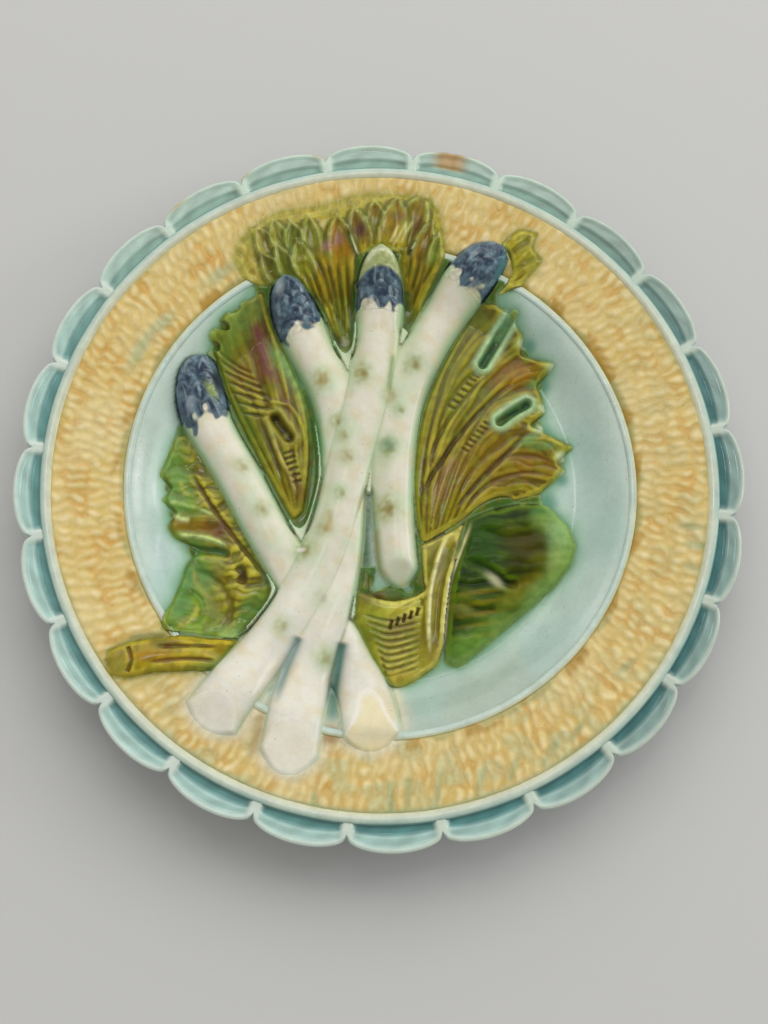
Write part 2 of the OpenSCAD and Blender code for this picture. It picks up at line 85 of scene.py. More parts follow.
room = bpy.data.worlds.new("room")
room.use_nodes = True
room.node_tree.nodes["Background"].inputs["Color"].default_value = (1.0, 0.99, 0.97, 1)
room.node_tree.nodes["Background"].inputs["Strength"].default_value = 0.5
bpy.context.scene.world = room
bpy.context.scene.view_settings.view_transform = "Standard"


def window(name, place, width, height, power, tint):
    """A rectangular lamp of that size and power, turned to face the plate."""
    lamp = bpy.data.lights.new(name, "AREA")
    lamp.shape = "RECTANGLE"
    lamp.size = width
    lamp.size_y = height
    lamp.energy = power
    lamp.color = tint
    stand = bpy.data.objects.new(name, lamp)
    stand.location = place
    stand.rotation_euler = (-Vector(place)).to_track_quat("-Z", "Y").to_euler()
    bpy.context.scene.collection.objects.link(stand)


window("far_window", (0.3, 1.5, 1.5), 3.2, 2.0, 34, (1.0, 0.99, 0.97))
window("right_window", (1.9, 0.4, 0.75), 0.8, 0.8, 8, (0.95, 0.98, 1.0))
window("roof_pane", (-0.02, 0.42, 1.75), 0.2, 0.1, 0.8, (1.0, 1.0, 1.0))


# The dish is thrown in pale clay: a flat floor, a wall that curves up to the lip and a
# flange that rises to the rim. Its glaze is a thin, crazed aqua that pools pale on the lip;
# highlights are painted down its left wall and shade over its near wall.
mm = 0.001
floor_r, well_r, bead_r, body_r = 62.0, 80.0, 105.2, 107.02
foot_z, floor_z, lip_z, bead_z = 4.0, 8.5, 16.9, 20.1
wall_t = 4.8
pitch = 0.25
reach = 118.0
ruler = np.arange(-reach, reach + pitch / 2, pitch)
plan_x, plan_y = np.meshgrid(ruler, ruler)
plan_r = np.hypot(plan_x, plan_y)
plan_a = np.arctan2(plan_y, plan_x)


def dish_z(r):
    """Height of the dish: level floor, half a cosine wave up the wall, straight flange."""
    rise = np.clip((r - floor_r) / (well_r - floor_r), 0, 1)
    wall = floor_z + (lip_z - floor_z) * (1 - np.cos(np.pi * rise)) / 2
    return np.where(r > well_r, lip_z + (bead_z - lip_z) * (r - well_r) / (bead_r - well_r), wall)


def smooth(x):
    """Soft step from 0 to 1: three squares less two cubes."""
    c = np.clip(x, 0, 1)
    return c * c * (3 - 2 * c)


def softened(field, width):
    """The field spread by a bell curve of that width, through its Fourier transform."""
    waves = np.fft.fftfreq(len(ruler), pitch)
    kept = np.exp(-2 * (np.pi * width * waves) ** 2)
    return np.fft.ifft2(np.fft.fft2(field) * kept[:, None] * kept[None, :]).real


def level(field, x, y):
    """The field's value at any place, by straight lines between the four nearest ones."""
    u = np.clip((x + reach) / pitch, 0, len(ruler) - 1.001)
    v = np.clip((y + reach) / pitch, 0, len(ruler) - 1.001)
    j, i = u.astype(int), v.astype(int)
    f, g = u - j, v - i
    if field.ndim > 2:
        f, g = f[..., None], g[..., None]
    low = field[i, j] * (1 - f) + field[i, j + 1] * f
    high = field[i + 1, j] * (1 - f) + field[i + 1, j + 1] * f
    return low * (1 - g) + high * g


def bell(x, power=2):
    """One at zero and falling off to both sides: e to the minus x to that power."""
    return np.exp(-(x**power))


def blended(first, second, share):
    """The first where the share is 0, the second where it is 1, and a mix between."""
    return first * (1 - share) + second * share


def around(count):
    """A column of that many angles, evenly round the plate."""
    return np.linspace(0, 2 * np.pi, count, endpoint=False)[:, None]


def ripple(x, y, size, seed):
    """Soft unevenness from -1 to 1: six plane waves of about that size at set angles."""
    total = 0
    for k in range(6):
        turn = seed * 1.7 + k * 2.4
        step = 2 * np.pi / (size * (0.7 + 0.17 * k))
        total = total + np.sin((x * np.cos(turn) + y * np.sin(turn)) * step + seed * 3.1 + k * k)
    return total / 3.2


def clouds(size, seed):
    """The ripple over the whole plan."""
    return ripple(plan_x, plan_y, size, seed)


bed = dish_z(plan_r)
clay = bed + 0.1 * clouds(34, 5) * smooth((body_r - 2 - plan_r) / 4)
tone = np.zeros(plan_x.shape + (3,))


def brush(mask, colour):
    """Glaze laid on the plan where the mask is, from 0 to 1, over what is there."""
    weight = np.clip(mask, 0, 1)
    rows = np.nonzero(weight.max(1) > 0.002)[0]
    cols = np.nonzero(weight.max(0) > 0.002)[0]
    if len(rows):
        part = (slice(rows[0], rows[-1] + 1), slice(cols[0], cols[-1] + 1))
        tone[part] = blended(tone[part], linear(*colour), weight[part][..., None])


def spot(x, y, along, across, turn=0):
    """A soft oval mask: a bell over the distance from its centre, turned by degrees."""
    c, s = math.cos(math.radians(turn)), math.sin(math.radians(turn))
    u = ((plan_x - x) * c + (plan_y - y) * s) / along
    v = ((plan_y - y) * c - (plan_x - x) * s) / across
    return bell(u * u + v * v, 1.5)


def smooth_line(points, count):
    """A smooth line through the points: every stretch is a cubic of its four neighbours."""
    p = np.array(points, float)
    p = np.concatenate([[2 * p[0] - p[1]], p, [2 * p[-1] - p[-2]]])
    s = np.linspace(0, len(p) - 3.000001, count)
    i = s.astype(int)
    f = (s - i)[:, None]
    a, b, c, d = p[i], p[i + 1], p[i + 2], p[i + 3]
    return (2 * b + (c - a) * f + (2 * a - 5 * b + 4 * c - d) * f**2
            + (3 * b - a - 3 * c + d) * f**3) / 2


def near(points, margin, count):
    """The window of the plan round a smooth line, each place's share of the way along it
    and its distance to the left of it, from the nearest of the line's places."""
    p = smooth_line(points, count)
    low, high = p.min(0) - margin, p.max(0) + margin
    cols = slice(*np.searchsorted(ruler, (low[0], high[0])))
    rows = slice(*np.searchsorted(ruler, (low[1], high[1])))
    x, y = plan_x[rows, cols].astype(np.float32), plan_y[rows, cols].astype(np.float32)
    q = p.astype(np.float32)
    k = ((x[..., None] - q[:, 0]) ** 2 + (y[..., None] - q[:, 1]) ** 2).argmin(-1)
    way = np.gradient(p, axis=0)
    step = np.hypot(way[:, 0], way[:, 1])
    way = way / step[:, None]
    dx, dy = x - p[k, 0], y - p[k, 1]
    onward = (dx * way[k, 0] + dy * way[k, 1]) / step[k]
    share = (k + onward) / (count - 1)
    return (rows, cols), share, way[k, 0] * dy - way[k, 1] * dx


def streak(points, width, taper=True):
    """A soft mask along a smooth line: a bell across it that thins out to its ends."""
    mask = np.zeros(plan_x.shape)
    stretch, share, side = near(points, 3.5 * width, 40)
    ends = np.clip(1 - np.abs(2 * share - 1), 0, None)
    fade = smooth(ends * (2.5 if taper else 12) + (0 if taper else 0.3))
    fade = np.where((share < -0.02) | (share > 1.02), 0, fade)
    mask[stretch] = bell(side / width) * fade
    return mask


def glazed(name, gloss, mottle, mottle_size, specks, crazing, unevenness, shine=0.5):
    """A glaze: the piece's own tone, mottled and specked by noise, with crazing from the
    edges between scattered cells, uneven gloss, and a soft bump like orange peel."""
    finish = bpy.data.materials.new(name)
    finish.use_nodes = True
    tree = finish.node_tree
    shader = tree.nodes["Principled BSDF"]
    shader.inputs["IOR"].default_value = 1.4
    shader.inputs["Specular IOR Level"].default_value = shine

    def node(kind, values, **settings):
        made = tree.nodes.new(kind)
        for key, value in settings.items():
            setattr(made, key, value)
        for key, value in values.items():
            made.inputs[key].default_value = value
        return made

    def join(source, output, target, entry):
        tree.links.new(source.outputs[output], target.inputs[entry])

    def ramp(source, output, low, high, at_low, at_high):
        made = node("ShaderNodeMapRange", {"From Min": low, "From Max": high,
                                           "To Min": at_low, "To Max": at_high})
        join(source, output, made, "Value")
        return made

    place = node("ShaderNodeTexCoord", {})
    own = node("ShaderNodeAttribute", {}, attribute_name="Glaze")
    mottling = node("ShaderNodeTexNoise", {"Scale": 1 / (mottle_size * mm), "Detail": 5, "Roughness": 0.6})
    join(place, "Object", mottling, "Vector")
    shade = ramp(mottling, "Fac", 0.3, 0.7, 1 - mottle, 1 + mottle)
    lift = node("ShaderNodeHueSaturation", {})
    join(own, "Color", lift, "Color")
    join(shade, "Result", lift, "Value")

    grit = node("ShaderNodeTexVoronoi", {"Scale": 420}, feature="F1")
    join(place, "Object", grit, "Vector")
    dots = ramp(grit, "Distance", 0.05, 0.13, specks, 0)
    rare = node("ShaderNodeMath", {1: 0.72}, operation="GREATER_THAN")
    join(grit, "Color", rare, 0)
    some = node("ShaderNodeMath", {}, operation="MULTIPLY")
    join(dots, "Result", some, 0)
    join(rare, "Value", some, 1)
    specked = node("ShaderNodeMix", {}, data_type="RGBA")
    specked.inputs["B"].default_value = (*linear(120, 95, 60), 1)
    join(some, "Value", specked, "Factor")
    join(lift, "Color", specked, "A")

    cells = node("ShaderNodeTexVoronoi", {"Scale": 330}, feature="DISTANCE_TO_EDGE")
    join(place, "Object", cells, "Vector")
    cracks = ramp(cells, "Distance", 0.0, 0.035, crazing, 0)
    crazed = node("ShaderNodeMix", {}, data_type="RGBA")
    crazed.inputs["B"].default_value = (*linear(120, 130, 110), 1)
    join(cracks, "Result", crazed, "Factor")
    join(specked, "Result", crazed, "A")
    join(crazed, "Result", shader, "Base Color")

    sheen = ramp(mottling, "Fac", 0, 1, gloss * 0.6, gloss * 1.4)
    join(sheen, "Result", shader, "Roughness")
    peel = node("ShaderNodeTexNoise", {"Scale": 230, "Detail": 3})
    join(place, "Object", peel, "Vector")
    bump = node("ShaderNodeBump", {"Distance": unevenness * mm, "Strength": 1.0})
    join(peel, "Fac", bump, "Height")
    join(bump, "Normal", shader, "Normal")
    return finish


def sheet_faces(rows, cols, round_rows=False, round_cols=False):
    """Quads between neighbouring places of a grid, numbered row by row."""
    i = np.arange(rows if round_rows else rows - 1)[:, None]
    j = np.arange(cols if round_cols else cols - 1)[None, :]
    a, b = i * cols + j, i * cols + (j + 1) % cols
    c, d = (i + 1) % rows * cols + (j + 1) % cols, (i + 1) % rows * cols + j
    return np.stack([a, b, c, d], -1).reshape(-1, 4)


def fired(name, points, faces, tones, finish, node_name):
    """A piece of clay from its places in millimetres, its faces and its glaze tones. It stands
    for that node and takes the finish that it is given."""
    mesh = bpy.data.meshes.new(name)
    mesh.from_pydata((points * mm).tolist(), [], faces if isinstance(faces, list) else faces.tolist())
    own = mesh.color_attributes.new("Glaze", "FLOAT_COLOR", "POINT")
    opaque = np.concatenate([np.clip(tones, 0, 1), np.ones((len(tones), 1))], 1)
    own.data.foreach_set("color", opaque.astype(np.float32).ravel())
    mesh.shade_smooth()
    mesh.materials.append(finish)
    piece = bpy.data.objects.new(name, mesh)
    bpy.context.scene.collection.objects.link(piece)
    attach(piece, "root")
    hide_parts(node_name)


def turned(radii, heights, angles):
    """Places of a profile carried round the axis, and its faces, closed at both poles."""
    c, s = np.cos(angles), np.sin(angles)
    ring = np.stack([radii * c, radii * s, heights + 0 * radii * c], -1)
    n, m = ring.shape[:2]
    poles = np.array([[0, 0, heights[..., 0].mean()], [0, 0, heights[..., -1].mean()]])
    points = np.concatenate([ring.reshape(-1, 3), poles])
    quads = sheet_faces(n, m, round_rows=True).tolist()
    i = np.arange(n)
    top = np.stack([i * m, (i + 1) % n * m, 0 * i + n * m], -1).tolist()
    low = np.stack([(i + 1) % n * m + m - 1, i * m + m - 1, 0 * i + n * m + 1], -1).tolist()
    return points, quads + top + low


brush(np.ones(plan_x.shape), (190, 211, 197))
brush(0.5 * smooth((plan_r - 60) / 14), (192, 208, 196))
brush(0.6 * smooth((plan_r - 76) / 4), (200, 212, 198))
# Painted highlights: pale streaks down the left wall of the well, where it catches the window.
for line, width in (([(-70, 14), (-71.5, 4), (-71.6, -4), (-69.5, -12), (-70, -22), (-67, -34)], 0.55),
                    ([(-75.5, 16), (-77, 6), (-77, -4), (-76.5, -12)], 1.3)):
    brush(0.75 * streak(line, width) * (0.8 + 0.3 * clouds(5, 1)), (226, 234, 228))
# Painted shade: a greyer patch over the near wall, darker towards the bottom of the plate.
brush(0.85 * spot(28, -68, 50, 15, 12), (160, 177, 160))
brush(0.35 * spot(66, 0, 40, 9, 90), (172, 200, 190))
brush(0.5 * spot(-66, -28, 26, 6, 100), (174, 198, 200))
brush(0.4 * np.clip(clouds(26, 2), 0, 1), (160, 192, 184))

dish_angles = around(640)
top_r = np.concatenate([np.linspace(0.7, 82, 112), [85, 92, 99, 103, 105.2, 106.4, body_r]])
low_r = np.concatenate([[body_r, 106.6, 105, 99, 92, 85], np.linspace(82, 60, 16), [52, 30, 1.0]])
dish_r = np.concatenate([top_r, low_r])
low_h = np.maximum(foot_z, dish_z(low_r) - wall_t)
low_h[0] += 0.5
top_h = level(clay, np.cos(dish_angles) * top_r, np.sin(dish_angles) * top_r)
top_h[:, -4:] = dish_z(top_r)[-4:]
dish_h = np.concatenate([top_h, np.broadcast_to(low_h, (len(dish_angles), len(low_h)))], 1)
dish_points, dish_faces = turned(dish_r, dish_h, dish_angles)
dish_tones = level(tone, dish_points[:, 0], dish_points[:, 1])
underside = np.tile(np.arange(len(dish_r)) >= len(top_r), len(dish_angles))
underside = np.concatenate([underside, [False, True]])
dish_tones[underside] = linear(206, 212, 198)
dish_glaze = glazed("dish_glaze", 0.16, 0.06, 7, 0.5, 0.16, 0.06)
fired("dish", dish_points, dish_faces, dish_tones, dish_glaze, "plate_body")


# The foot is turned with the dish: a low ring on which the plate stands. Its tread is bare
# clay, worn and a little stained, where the glaze was wiped off before firing.
foot_out, foot_w = 60.0, 5.0
foot_in = foot_out - foot_w
foot_profile = np.array([
    [foot_in - 0.6, 4.3], [foot_in, 3.4], [foot_in + 0.3, 1.4], [foot_in + 0.8, 0.3], [foot_in + 1.3, 0.0],
    [foot_out - 1.3, 0.0], [foot_out - 0.8, 0.3], [foot_out - 0.3, 1.4], [foot_out, 3.4],
    [foot_out + 0.6, 4.3]])
foot_r, foot_h = foot_profile.T
foot_angles = around(288)
foot_points = np.stack([foot_r * np.cos(foot_angles), foot_r * np.sin(foot_angles),
                        foot_h + 0 * foot_angles], -1).reshape(-1, 3)
tread = smooth((0.9 - foot_points[:, 2]) / 0.8)[:, None]
stained = np.clip(ripple(foot_points[:, 0], foot_points[:, 1], 17, 4), 0, 1)[:, None]
bare_clay = blended(linear(214, 198, 172), linear(178, 150, 118), stained)
foot_clay = glazed("foot_clay", 0.4, 0.08, 3, 0.9, 0.0, 0.12)
fired("foot", foot_points,
      sheet_faces(len(foot_angles), len(foot_r), round_rows=True, round_cols=True)[:, ::-1],
      blended(linear(204, 210, 196), bare_clay, tread), foot_clay, "foot_ring")


# Twenty-four petals are pressed round the edge. Each is a shallow arch with a rounded pale
# border, a deep teal gutter beside the rim bead and a lighter shelf between the two.
petal_count, petal_cut = 24, 44
petal_first = math.radians(9.6)
petal_reach, notch_depth, petal_border, petal_t = 8.3, 4.6, 2.1, 3.8
petal_top = float(dish_z(body_r))
petal_share = np.tile(np.arange(petal_cut) / petal_cut, petal_count)[:, None]
petal_angle = petal_first + around(petal_count * petal_cut)
arc = 112
petal_edge = body_r + petal_reach - notch_depth * (1 - np.sqrt(1 - (2 * petal_share - 1) ** 2))
across = np.array([0, 0.07, 0.14, 0.21, 0.28, 0.35, 0.41, 0.46, 0.5, 0.55, 0.61, 0.67, 0.73, 0.79, 0.84,
                   0.89, 0.93, 0.965, 0.99])
petal_in = body_r - 1.0
petal_radius = petal_in + (petal_edge - petal_in) * across
to_side = np.minimum(petal_share, 1 - petal_share) * 2 * np.pi / petal_count * petal_radius
inside = smooth(np.minimum((petal_edge - petal_radius) / petal_border, (to_side - 1.0) / 1.7) - 0.12)
step_up = smooth((across - 0.38) / 0.14)
sunk = inside * (1.2 - 0.6 * step_up)
bevel = 0.5 * smooth((0.9 - (petal_edge - petal_radius)) / 0.9)
petal_height = petal_top + 0.12 - sunk - bevel
chip_angle = math.radians(78.3)
chip = bell((petal_angle - chip_angle) * arc / 5.2, 4) * smooth((petal_radius - 108.8) / 1.2)
petal_height = petal_height - 0.55 * chip * (1 + 0.5 * np.sin(petal_angle * 900))
under_r = np.concatenate([petal_edge, petal_edge - 0.05, petal_edge - 0.5, petal_edge - 1.6,
                          petal_edge * 0 + body_r + 0.6, petal_edge * 0 + petal_in], 1)
under_h = petal_top - np.array([0.95, 1.7, 2.9, petal_t, wall_t - 0.35, wall_t - 0.3]) + 0 * petal_edge
under_r[:, :2] -= 1.3 * bell((petal_angle - chip_angle) * arc / 4.6, 4)
ring_r = np.concatenate([petal_radius, under_r], 1)
ring_h = np.concatenate([petal_height, under_h], 1)
petal_points = np.stack([ring_r * np.cos(petal_angle), ring_r * np.sin(petal_angle), ring_h], -1)

# Painted light: the petals are painted lighter towards the left and darker towards the right, and their
# gutters paler towards the top, as the light falls on them.
toward_top = smooth((np.sin(petal_angle) - 0.25) / 0.6)[..., None]
toward_left = smooth((-np.cos(petal_angle) - 0.4 * np.sin(petal_angle)) / 0.9)[..., None]
toward_right = smooth((np.cos(petal_angle) - 0.3) / 0.5)[..., None]
gutter = blended(linear(82, 136, 134), linear(134, 167, 152), toward_top)
shelf = blended(linear(156, 188, 180), linear(164, 188, 174), toward_top)
border = blended(linear(202, 215, 200), linear(192, 211, 194), toward_top)
border = blended(border, linear(208, 221, 210), 0.75 * toward_left) * (1 - 0.12 * toward_right)
petal_tones = blended(gutter, shelf, step_up[..., None]) * (1 + 0.2 * toward_left - 0.32 * toward_right)
petal_tones = blended(petal_tones, linear(150, 172, 162), 0.2 * toward_left)
streaky = 0.5 + 0.5 * np.sin(petal_angle * 61 + across * 9)[..., None] * np.cos(petal_angle * 23)[..., None]
petal_tones = blended(border, petal_tones * (0.86 + 0.28 * streaky), inside[..., None])
tooth = (smooth((1.3 - to_side) / 0.8) * smooth((across - 0.86) / 0.1))[..., None]
petal_tones = blended(petal_tones, linear(96, 158, 160), 0.6 * tooth)
for stain_angle, stain_width in ((100.4, 2.4), (113.5, 2.0), (125.7, 3.4)):
    mark = bell((petal_angle - math.radians(stain_angle)) * arc / stain_width)
    mark = (mark * smooth((across - 0.8) / 0.15))[..., None]
    petal_tones = blended(petal_tones, linear(186, 160, 92), 0.7 * mark)
petal_tones = blended(petal_tones, linear(176, 146, 98), chip[..., None])
below = np.tile(linear(196, 214, 202), (len(petal_angle), under_r.shape[1], 1))
below[:, :2] = border[:, 0][:, None] * 0.97
petal_tones = np.concatenate([petal_tones, below], 1).reshape(-1, 3)
petal_glaze = glazed("petal_glaze", 0.09, 0.07, 5, 0.35, 0.08, 0.05)
fired("petals", petal_points.reshape(-1, 3), sheet_faces(*ring_r.shape, round_rows=True, round_cols=True),
      petal_tones, petal_glaze, "petal_rim")


# Two beads are run round the dish on the wheel, one at the rim and one at the lip. The
# glaze breaks pale over both, honey on the side of the basketwork and aqua on the other.
def bead_ring(name, middle, width, height, inner_tone, crest_tone, outer_tone, node_name):
    """A half-round bead: an arch over the dish, closed 0.6 mm under its surface."""
    turns = around(720)
    arch = np.linspace(0, np.pi, 13)
    wobble = 1 + 0.12 * np.sin(turns * 13 + np.sin(turns * 5) * 2)
    radius = middle - width / 2 * np.cos(arch) + 0 * turns
    z = dish_z(radius) + height * np.sin(arch) * wobble
    z[:, [0, -1]] -= 0.6
    points = np.stack([radius * np.cos(turns), radius * np.sin(turns), z], -1).reshape(-1, 3)
    side = (-np.cos(arch) + 0 * turns)[..., None]
    tones = crest_tone * (1 - np.abs(side)) + np.where(side < 0, inner_tone, outer_tone) * np.abs(side)
    drift = 0.5 + 0.3 * np.sin(turns * 19 + 3 * np.sin(turns * 7))
    drift = drift + 0.2 * np.sin(turns * 43 + side[..., 0] * 2)
    tones = blended(tones, linear(208, 212, 186), 0.4 * drift[..., None])
    fired(name, points, sheet_faces(*radius.shape, round_rows=True, round_cols=True),
          tones.reshape(-1, 3), bead_glaze, node_name)


bead_glaze = glazed("bead_glaze", 0.12, 0.1, 4, 0.4, 0.05, 0.06)
bead_ring("rim_roll", bead_r - 0.2, 3.6, 0.9, linear(200, 196, 152), linear(202, 211, 196),
          linear(148, 184, 174), "rim_bead")
bead_ring("lip_roll", well_r, 2.5, 0.6, linear(172, 198, 190), linear(190, 208, 198),
          linear(196, 196, 150), "lip_bead")


# The flange carries a band of basketwork: four staggered rows of soft slanting stitches,
# pressed from a worn mould. Honey glaze runs thin on them and pools darker between them.
band_in, band_out, stitch_count, stitch_rows = 81.1, 104.0, 172, 4


def weave(radius, angle):
    """Stitch height from 0 to 1: a slanting wave round the plate, half a wave on from row to
    row, swelled across each row and made uneven by slow waves."""
    x, y = radius * np.cos(angle), radius * np.sin(angle)
    row = (radius - band_in) / (band_out - band_in) * stitch_rows + 0.3 * ripple(x, y, 13, 4)
    place = row - np.floor(row)
    phase = stitch_count * angle + np.pi * np.floor(row) + 1.3 * np.sin(angle * 17 + np.floor(row) * 2)
    phase = phase + 1.6 * place + 1.7 * ripple(x, y, 8, 2)
    swell = np.sqrt(np.clip(np.sin(np.pi * place), 0, 1))
    uneven = 0.75 + 0.25 * np.sin(angle * 29 + np.floor(row) * 5) * np.sin(angle * 47 + radius)
    return (0.5 + 0.5 * np.cos(phase)) * swell * uneven


band_zone = smooth((plan_r - band_in) / 0.8) * smooth((band_out - plan_r) / 0.8)
stitch = weave(plan_r, plan_a)
clay = clay + (0.4 + 0.38 * softened(stitch, 0.45)) * band_zone
mild = softened(stitch, 0.5)
flange = (plan_r > well_r) * 1.0
brush(flange, (217, 195, 128))
brush(flange * 0.65 * smooth((0.36 - mild) / 0.3), (202, 171, 84))
brush(flange * 0.65 * smooth((mild - 0.42) / 0.3), (233, 215, 164))
pools = smooth((0.4 - mild) / 0.25) * smooth((clouds(15, 8) - 0.1) / 0.4)
brush(flange * 0.6 * pools, (196, 146, 52))
pools = smooth((0.5 - mild) / 0.3) * smooth((clouds(11, 6) - 0.45) / 0.3)
brush(flange * 0.5 * pools, (206, 150, 56))
rubbed = smooth((clouds(6, 5) + 0.1) / 0.7)
brush(flange * 0.5 * rubbed * smooth((mild - 0.3) / 0.4), (234, 212, 166))
brush(flange * 0.45 * smooth((clouds(8, 9) - 0.2) / 0.5), (211, 182, 108))
brush(flange * 0.35 * np.clip(clouds(21, 7), 0, 1), (204, 170, 90))
brush(flange * 0.4 * np.clip(-clouds(30, 9), 0, 1), (220, 206, 152))
low_side = smooth((-plan_y - 45) / 40) + 0.5 * smooth((plan_x - 60) / 30)
brush(flange * 0.6 * low_side * smooth((clouds(11, 1) + 0.2) / 0.7), (184, 186, 134))
brush(flange * 0.3 * low_side * smooth((0.4 - mild) / 0.25), (190, 156, 76))
inner_drift = 0.5 + 0.5 * np.sin(plan_a * 23 + 2 * np.sin(plan_a * 9))
brush(flange * 0.7 * smooth((82.2 + 2 * inner_drift - plan_r) / 1.8), (154, 152, 92))
seep = smooth((85.8 - plan_r) / 2.5) * smooth((clouds(13, 2) - 0.1) / 0.4)
brush(flange * 0.75 * seep, (168, 128, 34))
for x, y, along, turn in ((-77, 44, 9, 62), (-70, 53, 5, 50), (-52, 70, 7, 38)):
    brush(flange * 0.55 * spot(x, y, along, 2.2, turn), (158, 180, 142))
outer_drift = 0.5 + 0.5 * np.sin(plan_a * 17 + 2 * np.sin(plan_a * 7))
brush(flange * 0.5 * smooth((plan_r - 103.2 + 1.6 * outer_drift) / 1.6), (172, 164, 92))
brush(smooth((plan_r - 105.4) / 0.6), (104, 148, 142))

band_angles = around(1296)
band_r = np.linspace(band_in - 0.4, band_out + 0.3, 50)
band_z = level(clay, band_r * np.cos(band_angles), band_r * np.sin(band_angles))
band_z[:, [0, -1]] -= 0.7
under_band = np.array([band_out - 4, band_in + 4])
band_z = np.concatenate([band_z, dish_z(under_band) - 0.9 + 0 * band_angles], 1)
band_r = np.concatenate([band_r, under_band])
band_points = np.stack([band_r * np.cos(band_angles), band_r * np.sin(band_angles), band_z], -1)
band_points = band_points.reshape(-1, 3)
band_glaze = glazed("band_glaze", 0.2, 0.1, 3.0, 0.45, 0.0, 0.1)
fired("basketwork", band_points, sheet_faces(*band_z.shape, round_rows=True, round_cols=True),
      level(tone, band_points[:, 0], band_points[:, 1]), band_glaze, "basketwork_band")


# The leaves are pressed from moulds. The large one on the right fans out from its foot to
# torn lobes, with two slots through it and rows of short dashes beside its main ribs.
owner = np.zeros(plan_x.shape, int)
rib_line = np.zeros(plan_x.shape)
right_leaf, right_fold, right_stalk, left_inner, left_outer, left_stalk = range(1, 7)
first_top, first_spear, first_tip = 10, 20, 30


def owned(first, end=99):
    """Places of the plan whose number is from the first up to the end."""
    return (owner >= first) & (owner < end)


def soft(where, width=0.25):
    """Those places of the plan as a soft mask."""
    return softened(where * 1.0, width)


def lay(number, over, blend=0.5, blur=0.5):
    """Clay laid on the plan, in heights over the dish and -2 where there is none. Its edge is
    rounded by a bell curve, and it joins the rest by a smooth maximum. The places that it
    covers, or fills beside it on the dish, get its number."""
    global clay
    height = bed + softened(over, blur)
    mix = np.clip(0.5 + 0.5 * (height - clay) / blend, 0, 1)
    raised = clay + (height - clay) * mix + blend * mix * (1 - mix)
    owner[(mix > 0.5) | ((owner == 0) & (raised > clay + 0.02))] = number
    clay = raised


def grow(numbers, where, height):
    """Thin clay over bare places of the plan, each given to the nearest of those numbers.
    Returns the places as a soft mask."""
    global clay
    masks = np.stack([soft(owner == number, 4.0) for number in numbers])
    swell = soft(where, 0.9)
    there = (swell > 0.25) & (owner == 0) & (masks.max(0) > 0.01)
    owner[there] = np.array(numbers)[masks.argmax(0)][there]
    raised = bed + height * smooth((swell - 0.2) / 0.6)
    clay = np.where(there, np.maximum(clay, raised), clay)
    return soft(there, 0.4)


def trough(points, width, power=4, count=50):
    """A mask with round ends along a smooth line, flat inside and soft at its edge: a bell of
    that power over the distance to the nearest place of the line."""
    p = smooth_line(points, count)
    low, high = p.min(0) - 3 * width, p.max(0) + 3 * width
    cols = slice(*np.searchsorted(ruler, (low[0], high[0])))
    rows = slice(*np.searchsorted(ruler, (low[1], high[1])))
    away = np.hypot(plan_x[rows, cols, None] - p[:, 0], plan_y[rows, cols, None] - p[:, 1]).min(-1)
    mask = np.zeros(plan_x.shape)
    mask[rows, cols] = bell(away / width, power)
    return mask


def leaf_relief(number, ribs, folds, crown=1.9, fold_h=0.42, cut=600):
    """A leaf from its ribs, each given by base, middle and end with a parabola between them.
    Heights: a crown that falls to the edges, round folds along the ribs, and between them
    finer ones, all with a sharp groove from one to the next."""
    r = np.array(ribs, float)
    v, u = np.linspace(0, 1, cut)[:, None], np.linspace(0, 1, cut)[None, :]
    base, middle = smooth_line(r[:, 0], cut)[:, None], smooth_line(r[:, 1], cut)[:, None]
    ends = np.stack([np.interp(v[:, 0] * (len(r) - 1), range(len(r)), r[:, 2, k]) for k in (0, 1)], -1)
    w = u[..., None]
    p = base * (1 - w) * (1 - 2 * w) + middle * 4 * w * (1 - w) + ends[:, None] * w * (2 * w - 1)
    bulge = np.sqrt(np.sin(np.pi * np.clip(v, 0.03, 0.97)) * np.sin(np.pi * (0.1 + 0.8 * u)))
    drift = v + 0.014 * np.sin(u * 7 + v * 21) + 0.007 * np.sin(u * 17 - v * 33)
    wide = np.abs(np.sin(np.pi * folds * drift)) ** 0.7
    fine = np.abs(np.sin(np.pi * 3.4 * folds * (drift + 0.004 * np.sin(u * 31)) + 0.6)) ** 0.7
    ribbed = (wide - 0.5 + 0.75 * (fine - 0.5)) * smooth(0.4 + 2 * u)
    rise = 0.6 + crown * bulge + fold_h * ribbed
    cell = np.rint((p[..., 1] + reach) / pitch) * len(ruler) + np.rint((p[..., 0] + reach) / pitch)
    cell = cell.astype(int).ravel()
    over = np.full(plan_x.size, -2.0)
    np.maximum.at(over, cell, rise.ravel())
    rib_line.ravel()[cell] = ((1 - wide) + 0.85 * (1 - fine)).ravel()
    lay(number, over.reshape(plan_x.shape))


def carve(points, width, depth, taper=True):
    """A stroke pressed into the clay along a smooth line; with a negative depth, a ridge."""
    global clay
    clay = clay - depth * streak(points, width, taper) * owned(1)


def stain(points, width, colour, strength, taper=True):
    """Glaze brushed along a smooth line."""
    brush(strength * streak(points, width, taper), colour)


def dab(mask, rows):
    """Ovals of glaze laid on the mask: how thick each is, where it is, and its colour."""
    for strength, oval, colour in rows:
        brush(mask * strength * spot(*oval), colour)


